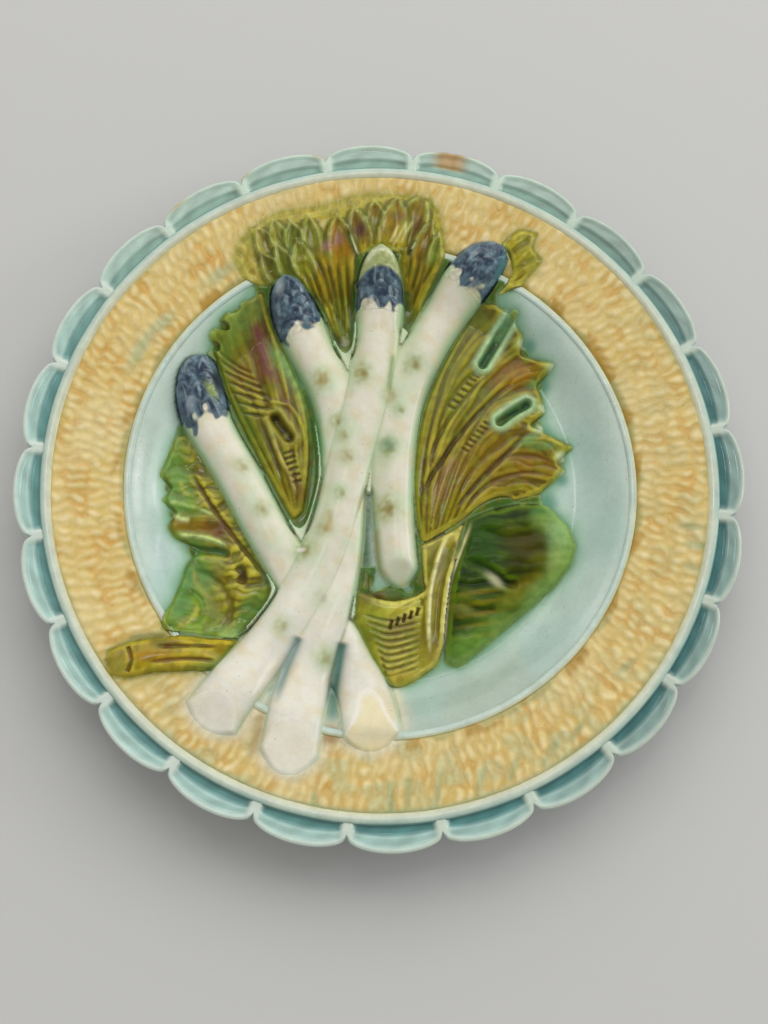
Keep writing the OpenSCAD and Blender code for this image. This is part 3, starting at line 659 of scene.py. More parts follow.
def pooled(mine, ridge, middle, hollow):
    """Glaze that pools: its tone goes by the height over the clay's mean round the place."""
    over = clay - softened(clay, 0.8)
    broad = clay - softened(clay, 2.4)
    brush(mine, middle)
    brush(mine * 0.45 * np.clip(clouds(13, ridge[0] % 7), 0, 1), hollow)
    brush(mine * 0.35 * np.clip(clouds(5, ridge[1] % 7), 0, 1), ridge)
    brush(mine * 0.85 * smooth((softened(rib_line, 0.2) - 0.15) / 0.8), hollow)
    brush(mine * 0.9 * smooth(-over / 0.12), hollow)
    brush(mine * 0.8 * smooth((over - 0.01) / 0.12), ridge)
    brush(mine * 0.4 * smooth((-broad) / 0.4), hollow)


def merged(first, second):
    """The clay evened out where two numbers meet, so that no joint shows between them."""
    global clay
    width = 1.5
    both = ((owner == first) | (owner == second)) * 1.0
    joint = 4 * soft(owner == first, width) * soft(owner == second, width)
    crust = softened(clay * both, width) / np.maximum(softened(both, width), 0.02)
    clay = clay + (crust - clay) * smooth(1.4 * joint) * both


def pressed(name, number, finish, node_name):
    """The clay with that number, as a shell of the plan's cells. Its border goes on for a
    millimetre under its neighbours, and its back lies in the dish."""
    wide = soft(owner == number, 0.4)
    inside = wide > 0.03
    top = clay - 1.5 * smooth((0.5 - wide) / 0.62)
    base = np.minimum(top, bed) - 0.8
    cell = inside[:-1, :-1] & inside[:-1, 1:] & inside[1:, :-1] & inside[1:, 1:]
    used = np.zeros(inside.shape, bool)
    for rows in (slice(None, -1), slice(1, None)):
        for cols in (slice(None, -1), slice(1, None)):
            used[rows, cols] |= cell
    rank = np.cumsum(used).reshape(used.shape) - 1
    count = int(used.sum())
    i, j = np.nonzero(cell)
    a, b, c, d = rank[i, j], rank[i, j + 1], rank[i + 1, j + 1], rank[i + 1, j]
    faces = [np.stack([a, b, c, d], -1), np.stack([d, c, b, a], -1) + count]
    ring = np.pad(cell, 1)
    for start, end, free in ((a, b, ring[i, j + 1]), (b, c, ring[i + 1, j + 2]),
                             (c, d, ring[i + 2, j + 1]), (d, a, ring[i + 1, j])):
        start, end = start[~free], end[~free]
        faces.append(np.stack([end, start, start + count, end + count], -1))
    x, y, z = plan_x[used], plan_y[used], top[used]
    points = np.concatenate([np.stack([x, y, z], -1), np.stack([x, y, base[used]], -1)])
    tones = np.concatenate([tone[used], tone[used]])
    fired(name, points, np.concatenate(faces), tones, finish, node_name)


leaf_relief(right_leaf, [
    [(12.4, -15.6), (12.6, 22), (30, 59.5)], [(13, -16.4), (15.4, 25), (33.5, 62.5)],
    [(13.6, -16.8), (18, 26.2), (37.5, 62)], [(14.2, -16.9), (20, 26), (42.5, 58)],
    [(14.8, -16.7), (23, 25.5), (46.5, 52)], [(15.5, -16.4), (26, 24.5), (46, 46)],
    [(16.2, -16), (28.5, 23.5), (57, 42)], [(17, -15.5), (31, 22), (51, 35.5)],
    [(18, -14.9), (32.5, 20.5), (52.5, 32)], [(19, -14.3), (33.7, 18.6), (53.5, 26.5)],
    [(20, -13.7), (34.3, 16.5), (48.5, 22)], [(21, -13.1), (37, 13.3), (62.5, 15)],
    [(22, -12.4), (37.3, 10.4), (57, 9.5)], [(23.3, -11.6), (37.6, 7.4), (60, 7)],
    [(24.6, -10.8), (37.5, 4), (55, 2.5)], [(26, -9.8), (37.5, 0.5), (51, -1)],
    [(27.5, -8.6), (36.5, -2.5), (43.2, -3.2)]
], 9)
slots = [[(33.4, 42.4), (36.1, 47.1), (39.2, 52.4), (43.6, 58.6)],
         [(38.7, 22.8), (42.6, 25.9), (47.4, 28.9)]]
for line in slots:
    clay = clay + 0.7 * trough(line, 3.0) * owned(1) - 2.6 * trough(line, 1.55)
dashes = [[(23.1, 27.6), (26.8, 32.8), (30.4, 37.6), (32.1, 40.0)],
          [(27.2, 13.2), (30.8, 17.6), (34.4, 22.0)]]
dash_marks = np.zeros(plan_x.shape)
for line, count in zip(dashes, (9, 7)):
    for x, y in smooth_line(line, count):
        dash_marks += trough([(x - 0.7, y + 0.4), (x + 0.7, y - 0.4)], 0.5, power=2, count=6)
clay = clay - 0.4 * dash_marks
main_rib = [(12.6, -3), (16.5, 4.7), (20.7, 11.4), (28.9, 22.6), (38.8, 32.9), (45, 37)]
low_rib = [(22, -8), (30, 1), (35.1, 6.5), (41.7, 13.3), (48.3, 20.1)]
carve(main_rib, 0.9, 0.7)
carve([(15, 9), (20, 20), (26, 29), (35, 40)], 0.8, 0.5)
carve(low_rib, 0.9, 0.7)
carve([(26, -6), (36, 3), (46, 6), (54, 5.5)], 0.8, 0.5)
mine = soft(owner == right_leaf)
pooled(mine, (176, 164, 62), (144, 131, 10), (74, 60, 0))
dab(mine, (
    (0.4, (22, 40, 12, 26, 20), (110, 120, 6)), (0.6, (30, 60, 5, 7, -30), (104, 84, 8)),
    (0.5, (36, 10, 14, 12, 30), (128, 90, 0)), (0.6, (44, 39, 8, 5, 20), (150, 92, 0)),
    (0.6, (21, 3, 3, 9, -22), (132, 88, 72)), (0.6, (31, 57, 7, 4), (128, 138, 70)),
    (0.5, (50, 8, 8, 4), (132, 80, 0))))
stain(main_rib[:-1], 0.9, (60, 44, 0), 0.8)
stain(low_rib, 0.8, (66, 48, 0), 0.8)
brush(mine * 0.55 * np.clip(dash_marks, 0, 1), (70, 60, 4))
# Pale lobe tips: glaze thin over the points, with a painted highlight on each.
lobe_tips = ((46, 49.5), (55.5, 41), (52.5, 28), (51, 21), (58, 11.5), (59, 5.5), (56.5, 0.5))
for x, y in lobe_tips:
    brush(mine * 0.7 * spot(x, y, 2.6, 2.2), (178, 196, 128))
for x, y, along, turn in ((49, 46.5, 3.4, 60), (51.5, 36, 4.6, 10), (48, 17, 4.4, 30), (52, 15, 5, 0)):
    brush(mine * 0.75 * spot(x, y, along, 1.6, turn), (92, 140, 92))
for line in slots:
    brush(0.9 * trough(line, 3.3) * mine, (170, 202, 146))
    brush(0.9 * trough(line, 2.1, 3), (88, 156, 112))
    brush(0.95 * trough(line, 1.3, 3), (24, 62, 34))
brush(mine * 0.7 * trough([(39, 53), (43, 58.5), (46, 62)], 2.6, 3), (126, 176, 150))
leaf_glaze = glazed("leaf_glaze", 0.14, 0.16, 3.0, 0.2, 0.0, 0.035, 0.38)


# Below it the leaf is folded over: a round lip of dark green, and a tube with two raised
# lengthwise ridges, painted with bright highlights, that runs down to the rounded stalk,
# ringed like the rungs of a ladder.
leaf_relief(right_fold, [
    [(28, -9.5), (42, -4.6), (54, -5)], [(27, -14), (45, -11), (60.5, -12)],
    [(25.8, -19), (45.5, -18), (62.5, -18)], [(24, -24.5), (44.5, -24.5), (60.5, -24.5)],
    [(22.7, -30), (41, -31), (55.5, -31)], [(21.7, -36), (36, -38), (47.5, -38)],
    [(20.9, -43), (31, -45), (39.5, -45)], [(20.4, -50), (26.5, -51.5), (32.5, -51)],
    [(20, -56), (22.5, -57), (25, -57.5)]
], 4, crown=2.3, fold_h=0.3)
fold_mouth = [(35.5, -5.5), (38.5, -4.3), (43, -2.6)]
carve(fold_mouth, 1.5, 1.8)
carve([(31, -12), (38, -15), (46, -15), (53, -12)], 1.8, 0.9)
carve([(27, -23), (34, -26), (40, -30.5), (44, -31)], 1.5, 1.0)
carve([(24, -36), (30, -39), (37, -39)], 1.3, 0.8)
mine = soft(owner == right_fold)
pooled(mine, (88, 114, 10), (48, 74, 0), (24, 40, 0))
dab(mine, (
    (0.85, (32, -17, 7, 10), (40, 74, 16)), (0.8, (47, -18, 8, 6.5), (66, 60, 0)),
    (0.6, (44, -25, 5, 3.4), (52, 44, 0)), (0.6, (47, -31, 9, 3, 30), (124, 112, 12))))
for k in range(5):
    dab(mine, ((0.55, (31 + k * 0.6, -33.5 - k * 3.4, 8, 0.9, 8), (134, 118, 20)),
               (0.55, (31 + k * 0.6, -35.2 - k * 3.4, 8, 0.8, 8), (60, 84, 16))))
# The pale grey oval at (36, -29.5) in the fold's hollow is a painted glint.
dab(mine, (
    (0.7, (25.5, -39.5, 5, 2.2, -10), (96, 92, 40)), (0.75, (36, -29.5, 3.6, 1.6, -42), (176, 176, 168)),
    (0.6, (29, -51, 10, 6, 30), (112, 158, 78))))
brush(mine * 0.85 * smooth((plan_x - 51 + 0.016 * (plan_y + 18) ** 2) / 8), (112, 150, 70))
dab(mine, (
    (0.65, (52, -9.6, 4, 4, 0), (128, 158, 92)), (0.65, (57, -14, 4, 6, 0), (150, 186, 150)),
    (0.65, (55.4, -23, 3, 5, -10), (142, 164, 112)), (0.65, (50, -32.6, 7, 3, 40), (118, 152, 96)),
    (0.65, (41, -36, 5, 2.4, 25), (118, 128, 48)), (0.65, (37.5, -42.6, 5, 2.6, 25), (118, 150, 84)),
    (0.65, (50.4, -22.6, 3, 2.4, 0), (96, 98, 20)), (0.65, (26.8, -36.6, 2.4, 4, 0), (100, 112, 34)),
    (0.65, (41.5, -13, 4, 2, 10), (82, 92, 18))))
stain(fold_mouth, 1.4, (34, 30, 22), 0.95)
stain([(44, -4.6), (49, -2.6), (55, -5)], 0.8, (176, 184, 106), 0.8)
stain([(47, -7.5), (52, -6.5), (56, -8)], 1.2, (70, 116, 66), 0.8)
fold_glaze = glazed("fold_glaze", 0.18, 0.16, 3.0, 0.15, 0.0, 0.04, 0.16)

leaf_relief(right_stalk, [
    [(1.5, -61.4), (6, -63.5), (12, -61)], [(-2.5, -57.5), (8, -59.5), (18.2, -56.5)],
    [(-6, -50), (7, -52), (19.6, -51)], [(-9, -43), (7, -46), (20, -44.5)],
    [(-9, -37.5), (7, -41.3), (20.6, -38)], [(-7.5, -33.3), (6.2, -38.9), (21.4, -32.9)],
    [(-0.8, -35.3), (10, -37), (21.9, -29.7)], [(5.1, -36), (12.6, -35.1), (22.1, -27.8)],
    [(13.3, -33.2), (16.8, -31.2), (22.8, -26.2)], [(13.4, -29), (17.9, -25.5), (23.7, -22.3)],
    [(13, -23), (18, -20.2), (25, -17)], [(12.8, -17.6), (18.5, -15.4), (27, -10.5)]
], 1, crown=1.8, fold_h=0.0)
tube_lines = [[(22, -13.6), (19.1, -20.2), (17.4, -26), (16, -32.5), (15.4, -39), (15.2, -46), (15.6, -55)],
              [(29.4, -9.5), (26.6, -17), (24.0, -23.8), (21.9, -30), (20.9, -37), (20.2, -45),
               (19.6, -54)]]
for line in tube_lines:
    carve(line, 1.2, -1.1)
carve([(25.5, -14), (22.4, -21), (20.2, -28), (18.8, -35), (18, -43), (17.6, -53)], 1.2, 0.9)
rings = [[(-6 + k * 0.9, -40.5 - k * 2.2), (3, -42.6 - k * 2.2), (13.4, -40.8 - k * 2.0)] for k in range(9)]
ticks = [[(2.8 + k * 2.1, -45.5 + k * 1.1), (3.6 + k * 2.1, -42.5 + k * 1.0)] for k in range(5)]
for line in rings:
    carve(line, 0.5, 0.22)
for line in ticks:
    carve(line, 0.5, 0.7, taper=False)
for k in range(5):
    carve([(-2 + k * 2, -36 - k * 0.6), (6 + k * 1.6, -31 - k * 1.2), (13, -28 - k * 2.6)], 0.5, 0.35)
mine = soft(owner == right_stalk)
pooled(mine, (216, 206, 124), (186, 178, 64), (110, 102, 14))
for line in rings:
    stain(line, 0.55, (84, 80, 8), 0.6)
dab(mine, (
    (0.55, (-3, -43, 5, 9), (100, 124, 30)), (0.6, (7, -44, 6, 3, 20), (76, 56, 16)),
    (0.55, (17.5, -32, 2.2, 14, -8), (128, 110, 36)), (0.55, (17, -52, 3, 6), (128, 110, 60)),
    (0.7, (5, -61, 8, 2.6), (184, 164, 66)), (0.7, (-5, -34, 4, 4), (70, 44, 16))))
for line in ticks:
    stain(line, 0.5, (50, 38, 14), 0.85, taper=False)
# Painted highlights: a bright line along the crest of each tube ridge, with a dark line just beside it.
for line in tube_lines:
    shifted = [(x + 0.5, y) for x, y in line]
    stain(shifted, 0.6, (52, 46, 26), 0.8)
    stain(line, 0.55, (236, 232, 200), 0.95)


# Two leaves lie on the left. The inner one has an eye, a hollow with a pale ring, and a
# ladder of short dashes below it; the outer one is torn into lobes over a green hollow.
leaf_relief(left_inner, [
    [(-28.3, -10.2), (-42, 15.3), (-50, 32)], [(-27.9, -10.1), (-40.8, 17.7), (-52, 38.5)],
    [(-27.5, -9.9), (-39.3, 20.5), (-55.6, 50)], [(-27, -9.6), (-36, 22), (-50.5, 57)],
    [(-26.5, -9.2), (-33, 24), (-43.5, 62)], [(-26, -8.7), (-29, 24), (-38.7, 64.4)],
    [(-25.2, -7.9), (-27.3, 23.1), (-35.3, 55.1)], [(-24.6, -7.3), (-23.1, 21.2), (-29.5, 43.3)]
], 6, crown=1.7)
eye = [(-34.0, 23.4), (-31.8, 20.1), (-29.6, 17)]
clay = clay + 0.7 * trough(eye, 3.8) - 2.3 * trough(eye, 1.7, 3)
inner_rib = [(-38, 26), (-33, 12), (-29, 4), (-26.8, -3)]
carve(inner_rib, 0.7, -0.6)
carve([(-44, 31), (-37, 29), (-29, 27), (-24.5, 18), (-23.5, 8)], 0.8, -0.5)
rungs = np.zeros(plan_x.shape)
for x, y in smooth_line([(-29.8, 12), (-28.4, 7.6), (-26.9, 2.4)], 6):
    rungs += trough([(x - 1.2, y - 0.5), (x + 1.2, y + 0.4)], 0.5, power=2, count=6)
clay = clay - 0.45 * rungs
for k in range(7):
    line = [(-55 + k * 1.6, 47 - k * 3.6), (-48 + k * 1.8, 42 - k * 3.0), (-41 + k * 1.6, 38 - k * 2.4)]
    carve(line, 0.6, 0.5)
for x, y, along, turn in ((-55.6, 39.5, 2.6, 30), (-54.4, 46.5, 2.4, 20), (-51.6, 53, 2.6, 10),
                          (-47.6, 59, 2.2, 60), (-42.5, 64, 2.4, 80), (-56.6, 33, 2.0, 20)):
    bite = (spot(x, y, along, 1.5, turn - 20) > 0.4) & (owner == left_inner)
    clay = np.where(bite, bed, clay)
    owner[bite] = 0
mine = soft(owner == left_inner)
pooled(mine, (172, 162, 62), (138, 127, 10), (70, 58, 0))
dab(mine, (
    (0.75, (-51, 47, 7, 12, -20), (104, 134, 52)), (0.6, (-44, 22, 4, 14, 28), (66, 106, 26)),
    (0.5, (-43, 40, 6, 8), (116, 70, 2)), (0.65, (-42, 61, 5, 4, 40), (84, 46, 6)),
    (0.6, (-26, -1, 3, 6, 20), (92, 46, 16)), (0.55, (-44, 57, 8, 4, 40), (118, 156, 92))))
stain([(-41, 57), (-39.5, 50), (-37.5, 42), (-33.5, 34)], 2.2, (112, 58, 74), 0.95)
stain([(-34.5, 38), (-31, 30), (-27.6, 22)], 1.1, (120, 76, 60), 0.6)
brush(0.7 * trough(eye, 4.0) * mine, (166, 160, 84))
brush(0.75 * trough(eye, 3.0) * mine, (116, 104, 30))
brush(0.95 * trough(eye, 1.6, 3) * mine, (40, 40, 12))
brush(0.9 * spot(-30.6, 17.6, 1.0, 1.4, -30) * mine, (120, 116, 60))
stain(inner_rib, 0.55, (178, 164, 110), 0.75)
brush(0.65 * np.clip(rungs, 0, 1) * mine, (72, 58, 2))
leaf_relief(left_outer, [
    [(-62, 18), (-64, 17.5), (-66, 17)], [(-57, 12), (-63, 11.5), (-68.5, 9)],
    [(-53, 5), (-61, 4), (-70.5, 3.5)], [(-51, 1.5), (-60, 0), (-66.5, 0)],
    [(-49, -2), (-59, -4), (-69.5, -4.5)], [(-47, -6), (-57, -8), (-65, -8.2)],
    [(-45, -9), (-55, -11.5), (-67.5, -13)], [(-42, -14), (-52, -16), (-65.5, -16.4)],
    [(-39, -19), (-48, -21), (-57.5, -20)], [(-36, -24), (-48, -26), (-61.5, -25)],
    [(-33, -30), (-47, -32), (-63, -32)], [(-34, -36), (-48, -38), (-65, -38.5)],
    [(-39, -43), (-52, -44.5), (-67.5, -43)], [(-45, -48.4), (-56, -48.2), (-68, -47.4)]
], 8, crown=1.4)
torn_edge = [(-65.5, -15.6), (-58, -16), (-52, -17.6), (-48, -20)]
green_hollow = [(-65, -19.2), (-58, -20), (-52, -20.6), (-47, -21.6)]
long_groove = [(-62, 8), (-55, -4), (-48, -14), (-40, -24), (-35.5, -30)]
carve(torn_edge, 0.9, -0.9)
carve(green_hollow, 1.6, 1.5)
carve([(-45.5, -25), (-43.6, -28), (-44.5, -31.5)], 1.5, 1.2)
carve(long_groove, 0.8, 0.6)
carve([(-60, -26), (-52, -30), (-47, -38), (-50, -46), (-58, -49)], 1.3, 0.8)
carve([(-62, -33), (-57, -36), (-56, -42), (-62, -47)], 1.0, 0.7)
mine = soft(owner == left_outer)
pooled(mine, (200, 190, 80), (160, 148, 18), (86, 72, 0))
far_side = smooth((-plan_x - 51 - 0.25 * (plan_y + 20)) / 7)
brush(mine * 0.8 * far_side, (96, 142, 62))
dab(mine, (
    (0.7, (-66, -1, 4, 10), (98, 142, 88)), (0.8, (-59, -27, 4.5, 7), (70, 124, 72)),
    (0.75, (-62, -37, 3, 9, -8), (74, 128, 72)), (0.85, (-40, -40, 5, 9, -30), (86, 136, 70)),
    (0.8, (-44, -48, 7, 4, 20), (140, 180, 124))))
brush(mine * 0.8 * trough([(-66, -12), (-59, -12.5), (-53, -13.5)], 3.0, 3), (134, 94, 4))
stain([(-56, -10), (-51, -13), (-47.5, -20.5)], 2.6, (92, 52, 36), 0.85)
dab(mine, (
    (0.55, (-50, -37, 5, 9, -12), (124, 104, 6)), (0.7, (-43.4, -27.5, 1.8, 3.6, 12), (60, 40, 4)),
    (0.6, (-51, -25.5, 3, 3), (108, 124, 84))))
stain([(-64, 3), (-63, -1), (-60.5, -2.6)], 0.7, (176, 178, 96), 0.7)
# Painted highlights: pale mint lines along the lit edges of the lobes and along the torn edge.
stain([(-68, -5.2), (-64, -5), (-60, -6.4)], 0.7, (176, 204, 146), 0.7)
stain([(-61.5, -5.6), (-57, -7), (-53, -9)], 0.6, (176, 200, 136), 0.8)
stain([(-67, -8), (-63.5, -10), (-60, -10.4)], 0.8, (204, 222, 178), 0.85)
stain(torn_edge, 0.9, (200, 220, 168), 0.95)
stain(green_hollow, 1.5, (58, 106, 60), 0.9)
stain([(-58, -23.4), (-54, -22.4), (-48, -23)], 0.8, (166, 166, 80), 0.7)
stain([(-59, -25), (-58, -31), (-53, -36), (-47, -33)], 0.8, (150, 154, 66), 0.7)
stain(long_groove, 0.8, (84, 62, 0), 0.7)
stain([(-57, -38), (-58.5, -43), (-64, -47.4)], 1.0, (170, 168, 84), 0.8)
leaf_relief(left_stalk, [
    [(-46, -60), (-44.5, -54), (-44, -49)], [(-53, -60), (-53, -54.5), (-54, -49.5)],
    [(-61, -60.5), (-61, -55), (-62, -49.2)], [(-69, -61), (-69, -55.5), (-70, -49.8)],
    [(-76.5, -62.8), (-77, -57), (-78, -51.2)], [(-83, -62.8), (-84.3, -58.5), (-84, -54)]
], 1, crown=2.6, fold_h=0.0)
stalk_groove = [(-79, -50.6), (-72, -49.2), (-64, -48.6)]
carve(stalk_groove, 1.0, 1.2)
carve([(-50, -52), (-60, -52.6), (-70, -53)], 0.7, 0.6)
carve([(-50, -57), (-60, -56.6), (-72, -58)], 0.7, 0.6)
carve([(-77.6, -53), (-76.4, -57), (-77.4, -61)], 0.6, 0.7, taper=False)
mine = soft(owner == left_stalk)
pooled(mine, (192, 172, 60), (160, 138, 12), (98, 76, 0))
dab(mine, (
    (0.8, (-66, -52, 5, 2, -5), (84, 46, 8)), (0.5, (-70, -56, 8, 2), (160, 104, 14)),
    (0.6, (-80.5, -58, 3.2, 4), (170, 160, 84)), (0.7, (-52, -59, 9, 2, 8), (120, 150, 76))))
stain(stalk_groove, 1.0, (60, 62, 20), 0.85)


# A fan of pointed leaves stands behind the tips and runs down into the gaps between them,
# where it is dark green, with painted shade deepest in the narrow gaps. Its points are brown,
# with purple where two glazes met.
top_leaves = {
    "left": ([
        [(-38, 68.5), (-42, 70.5), (-47, 73)], [(-36, 69), (-41, 74), (-46, 79)],
        [(-34.5, 69.5), (-39, 77), (-43, 86)], [(-33, 69.5), (-36, 79), (-38.5, 85.5)],
        [(-31.5, 69.5), (-33.5, 79.5), (-35, 90)], [(-30, 69.5), (-31.2, 79), (-31.3, 86)],
        [(-28.8, 69), (-29, 79), (-28.5, 89.5)], [(-27.2, 68), (-27.2, 77), (-26.8, 84)]], 6),
    "near": ([
        [(-12.4, 47), (-20.5, 66), (-24.8, 82)], [(-11.9, 47), (-19, 68), (-23, 87)],
        [(-11.4, 47), (-17, 69), (-18.5, 85)], [(-10.9, 47), (-15, 70), (-16, 95)],
        [(-10.4, 47), (-12.6, 71), (-13, 90)], [(-9.9, 47), (-10.5, 71), (-10, 98)],
        [(-9.4, 47), (-8.6, 70), (-7.8, 90)]], 5),
    "middle": ([
        [(-6, 79), (-6.4, 86), (-6.2, 91)], [(-4.2, 80), (-4.4, 89), (-3.8, 97.5)],
        [(-2, 81), (-2, 88), (-1.2, 92)], [(0.4, 81), (0.8, 89), (2.2, 98)],
        [(3, 81), (3.3, 88), (4, 92)], [(5, 79.5), (6, 87), (7.2, 95)]], 5),
    "far": ([
        [(6.5, 51), (8, 70), (8.8, 90)], [(6.8, 51), (9.2, 71), (11, 99)],
        [(7, 51), (10.6, 71), (13, 93)], [(7.3, 51), (12, 71), (16.5, 98)],
        [(7.6, 51), (13.4, 71), (17.5, 89)], [(8, 51.3), (14.8, 70), (20.5, 86)],
        [(8.5, 52), (16, 67), (21, 77)]], 5),
    "right": ([
        [(37, 64), (41.5, 65.5), (46, 67)], [(40, 66.5), (45, 69), (49, 71)],
        [(42, 70), (47.5, 73), (53, 75.5)], [(42.5, 74), (47, 77), (49.5, 79.5)],
        [(41.5, 78), (46, 82), (51.5, 85)], [(39, 81), (42, 84), (45, 86.5)]], 4)}
for k, (ribs, folds) in enumerate(top_leaves.values()):
    leaf_relief(first_top + k, ribs, folds, crown=0.9, fold_h=0.25, cut=360)
fan = (trough([(-38, 76), (-30, 82), (-18, 84), (-4, 88), (10, 88)], 9.5, 8) > 0.5) & (plan_x < 19.5)
fan |= trough([(-28, 76), (-14, 66), (-10, 52)], 6, 8) > 0.5
fan |= trough([(12, 80), (9, 66), (7.4, 54)], 5, 8) > 0.5
grow(range(first_top, first_top + 4), fan, 1.1)
fan_mask = soft(owned(first_top, first_top + 4), 0.5)
crust = softened(clay * fan_mask, 2.2) / np.maximum(softened(fan_mask, 2.2), 0.02)
clay = clay + (crust - clay) * fan_mask
top_mask = soft(owned(first_top, first_top + 5), 0.3)
pooled(top_mask, (214, 200, 94), (182, 164, 26), (92, 78, 0))
brush(fan_mask * 0.7 * smooth((-plan_x - 26) / 9), (122, 130, 46))
brush(fan_mask * 0.5 * smooth((plan_y - 84 - 0.1 * plan_x) / 7), (168, 158, 70))
dab(fan_mask, (
    (0.75, (-16.7, 71, 7, 7), (176, 142, 8)), (0.75, (13, 72, 4, 10, -25), (154, 130, 6)),
    (0.85, (-11.5, 57, 4, 11, 12), (68, 104, 18)), (0.7, (8.6, 57, 3, 9, -10), (60, 92, 20)),
    (0.8, (-34, 70, 7, 2.4, -40), (84, 48, 4))))
feet = ((-38.5, 73, -31, 67), (-34, 76, -24, 65.5), (-29, 77, -21, 63.5), (-25, 76, -18, 61),
        (-21.5, 77, -15.5, 61), (-18, 76, -13.4, 55), (-14.6, 76, -12, 52), (-11.6, 76, -10.4, 60),
        (-8.6, 78, -8.6, 66), (16.2, 84, 9.5, 60), (13.2, 80, 9.6, 66), (9.6, 80, 8.4, 70),
        (18, 78, 13, 68), (6.4, 80, 6, 74))
for x, y, to_x, to_y in feet:
    line = [(x, y), ((x + to_x) / 2 + 0.6, (y + to_y) / 2), (to_x, to_y)]
    carve(line, 0.6, 0.6)
    stain(line, 0.7, (70, 66, 0), 0.8)
    beside = [(line_x + 1.3, line_y) for line_x, line_y in line]
    carve(beside, 0.6, -0.35)
    stain(beside, 0.6, (172, 154, 50), 0.6)


def leaflet(tip, foot, half, middle):
    """A pointed leaf of the fan, a Gothic arch with raised pale edges round a hollow in that
    tone; it fades out towards its foot."""
    global clay
    way = np.array(foot, float) - tip
    length = np.hypot(*way)
    way = way / length
    along = (plan_x - tip[0]) * way[0] + (plan_y - tip[1]) * way[1]
    across = (plan_x - tip[0]) * way[1] - (plan_y - tip[1]) * way[0]
    wide = half * np.sin(np.pi / 2 * np.clip(along / (0.55 * length), 0, 1)) ** 0.85
    lasting = smooth((length - along) / (0.45 * length)) * (along > -1.5)
    off = np.abs(across) - wide
    inside = smooth((0.5 - off) / 0.9) * lasting * fan_mask * (along > 0)
    edge = bell(off / 0.8) * lasting * fan_mask
    clay = clay + (crust - 0.25 - clay) * inside + 0.8 * edge
    brush(inside * 0.8, middle)
    brush(inside * 0.5 * bell(across / 0.6), (84, 70, 4))
    brush(edge * 0.8 * (0.6 + 0.4 * clouds(5, 3)), (178, 186, 134))
    brush(0.7 * fan_mask * lasting * bell((off - 1.6) / 0.8) * (along > 0), (70, 82, 14))


leafy_row = trough([(-30, 80), (-14, 84), (0, 88), (12, 90)], 9, 6)
wild = fan_mask * smooth((plan_r - 87.5) / 4) * (1 - leafy_row)
wild = np.maximum(wild, fan_mask * smooth((-plan_x - 36.5) / 4))
clay = clay + wild * 0.75 * softened(stitch, 0.45)
brush(wild * 0.8, (204, 186, 112))
brush(wild * 0.6 * smooth((0.4 - mild) / 0.3), (148, 138, 52))
for tip, foot, half, middle in (
        ((-40.3, 85.2), (-34.6, 73.6), 2.6, (148, 130, 47)),
        ((-35.4, 88.1), (-31.4, 76), 2.5, (148, 146, 56)),
        ((-29.6, 87.3), (-26.5, 75.2), 3.1, (102, 121, 32)),
        ((-23.8, 89.2), (-22.2, 74.7), 2.7, (125, 130, 36)),
        ((14.1, 98.6), (7.5, 80), 3.7, (130, 107, 18)),
        ((16.3, 87.6), (11.1, 73), 2.7, (137, 102, 4)),
        ((19.0, 83.6), (16.6, 71.7), 1.8, (111, 135, 27)),
        ((-2.4, 94.9), (-1, 79.8), 3.3, (144, 114, 45)),
        ((-8.8, 92.6), (-5.9, 78), 3.2, (121, 86, 45)),
        ((5.5, 96.4), (2.9, 78.9), 3.8, (158, 128, 47)),
        ((-38.8, 76.2), (-31.3, 65.6), 2.6, (97, 97, 18)),
        ((-34.0, 79.4), (-28.4, 66), 2.4, (107, 125, 31)),
        ((-27.6, 81.0), (-23.8, 68.4), 3.0, (137, 144, 36)),
        ((-14.5, 89.5), (-12.1, 72.2), 4.0, (152, 104, 14))):
    leaflet(tip, foot, half, middle)
for x, y, to_x, to_y in ((10.6, 89.5, 6, 80.8), (8.6, 89, 4.2, 80.6), (6, 88, 2.6, 81),
                         (-0.6, 87, -0.4, 81.4)):
    stain([(x, y), (0.5 * (x + to_x), 0.5 * (y + to_y)), (to_x, to_y)], 0.5, (206, 198, 140), 0.8)
dab(fan_mask, (
    (0.8, (-17.6, 80, 2.4, 1.8, 40), (158, 116, 124)), (0.7, (-13.8, 82.5, 1.8, 2.0), (132, 92, 104)),
    (0.8, (-6.9, 85.6, 1.5, 2.4), (78, 42, 62)), (0.6, (5.6, 90.4, 3, 1.6), (120, 84, 84)),
    (0.85, (12, 87.4, 1.2, 3.6, -20), (84, 46, 0))))
# Dark lines in two gaps between the fan's leaflets, each with a thin painted glint beside it.
stain([(-11.4, 86), (-9.2, 80.6), (-6.9, 75.6)], 1.1, (40, 48, 6), 0.95)
stain([(-10.4, 84.4), (-8.4, 79.6), (-6.8, 76.4)], 0.35, (206, 210, 190), 0.85)
stain([(11.6, 82.4), (9.8, 79.6), (8.4, 76.8)], 0.8, (40, 44, 10), 0.9)
stain([(11.4, 81.6), (9.8, 79)], 0.35, (206, 210, 196), 0.8)
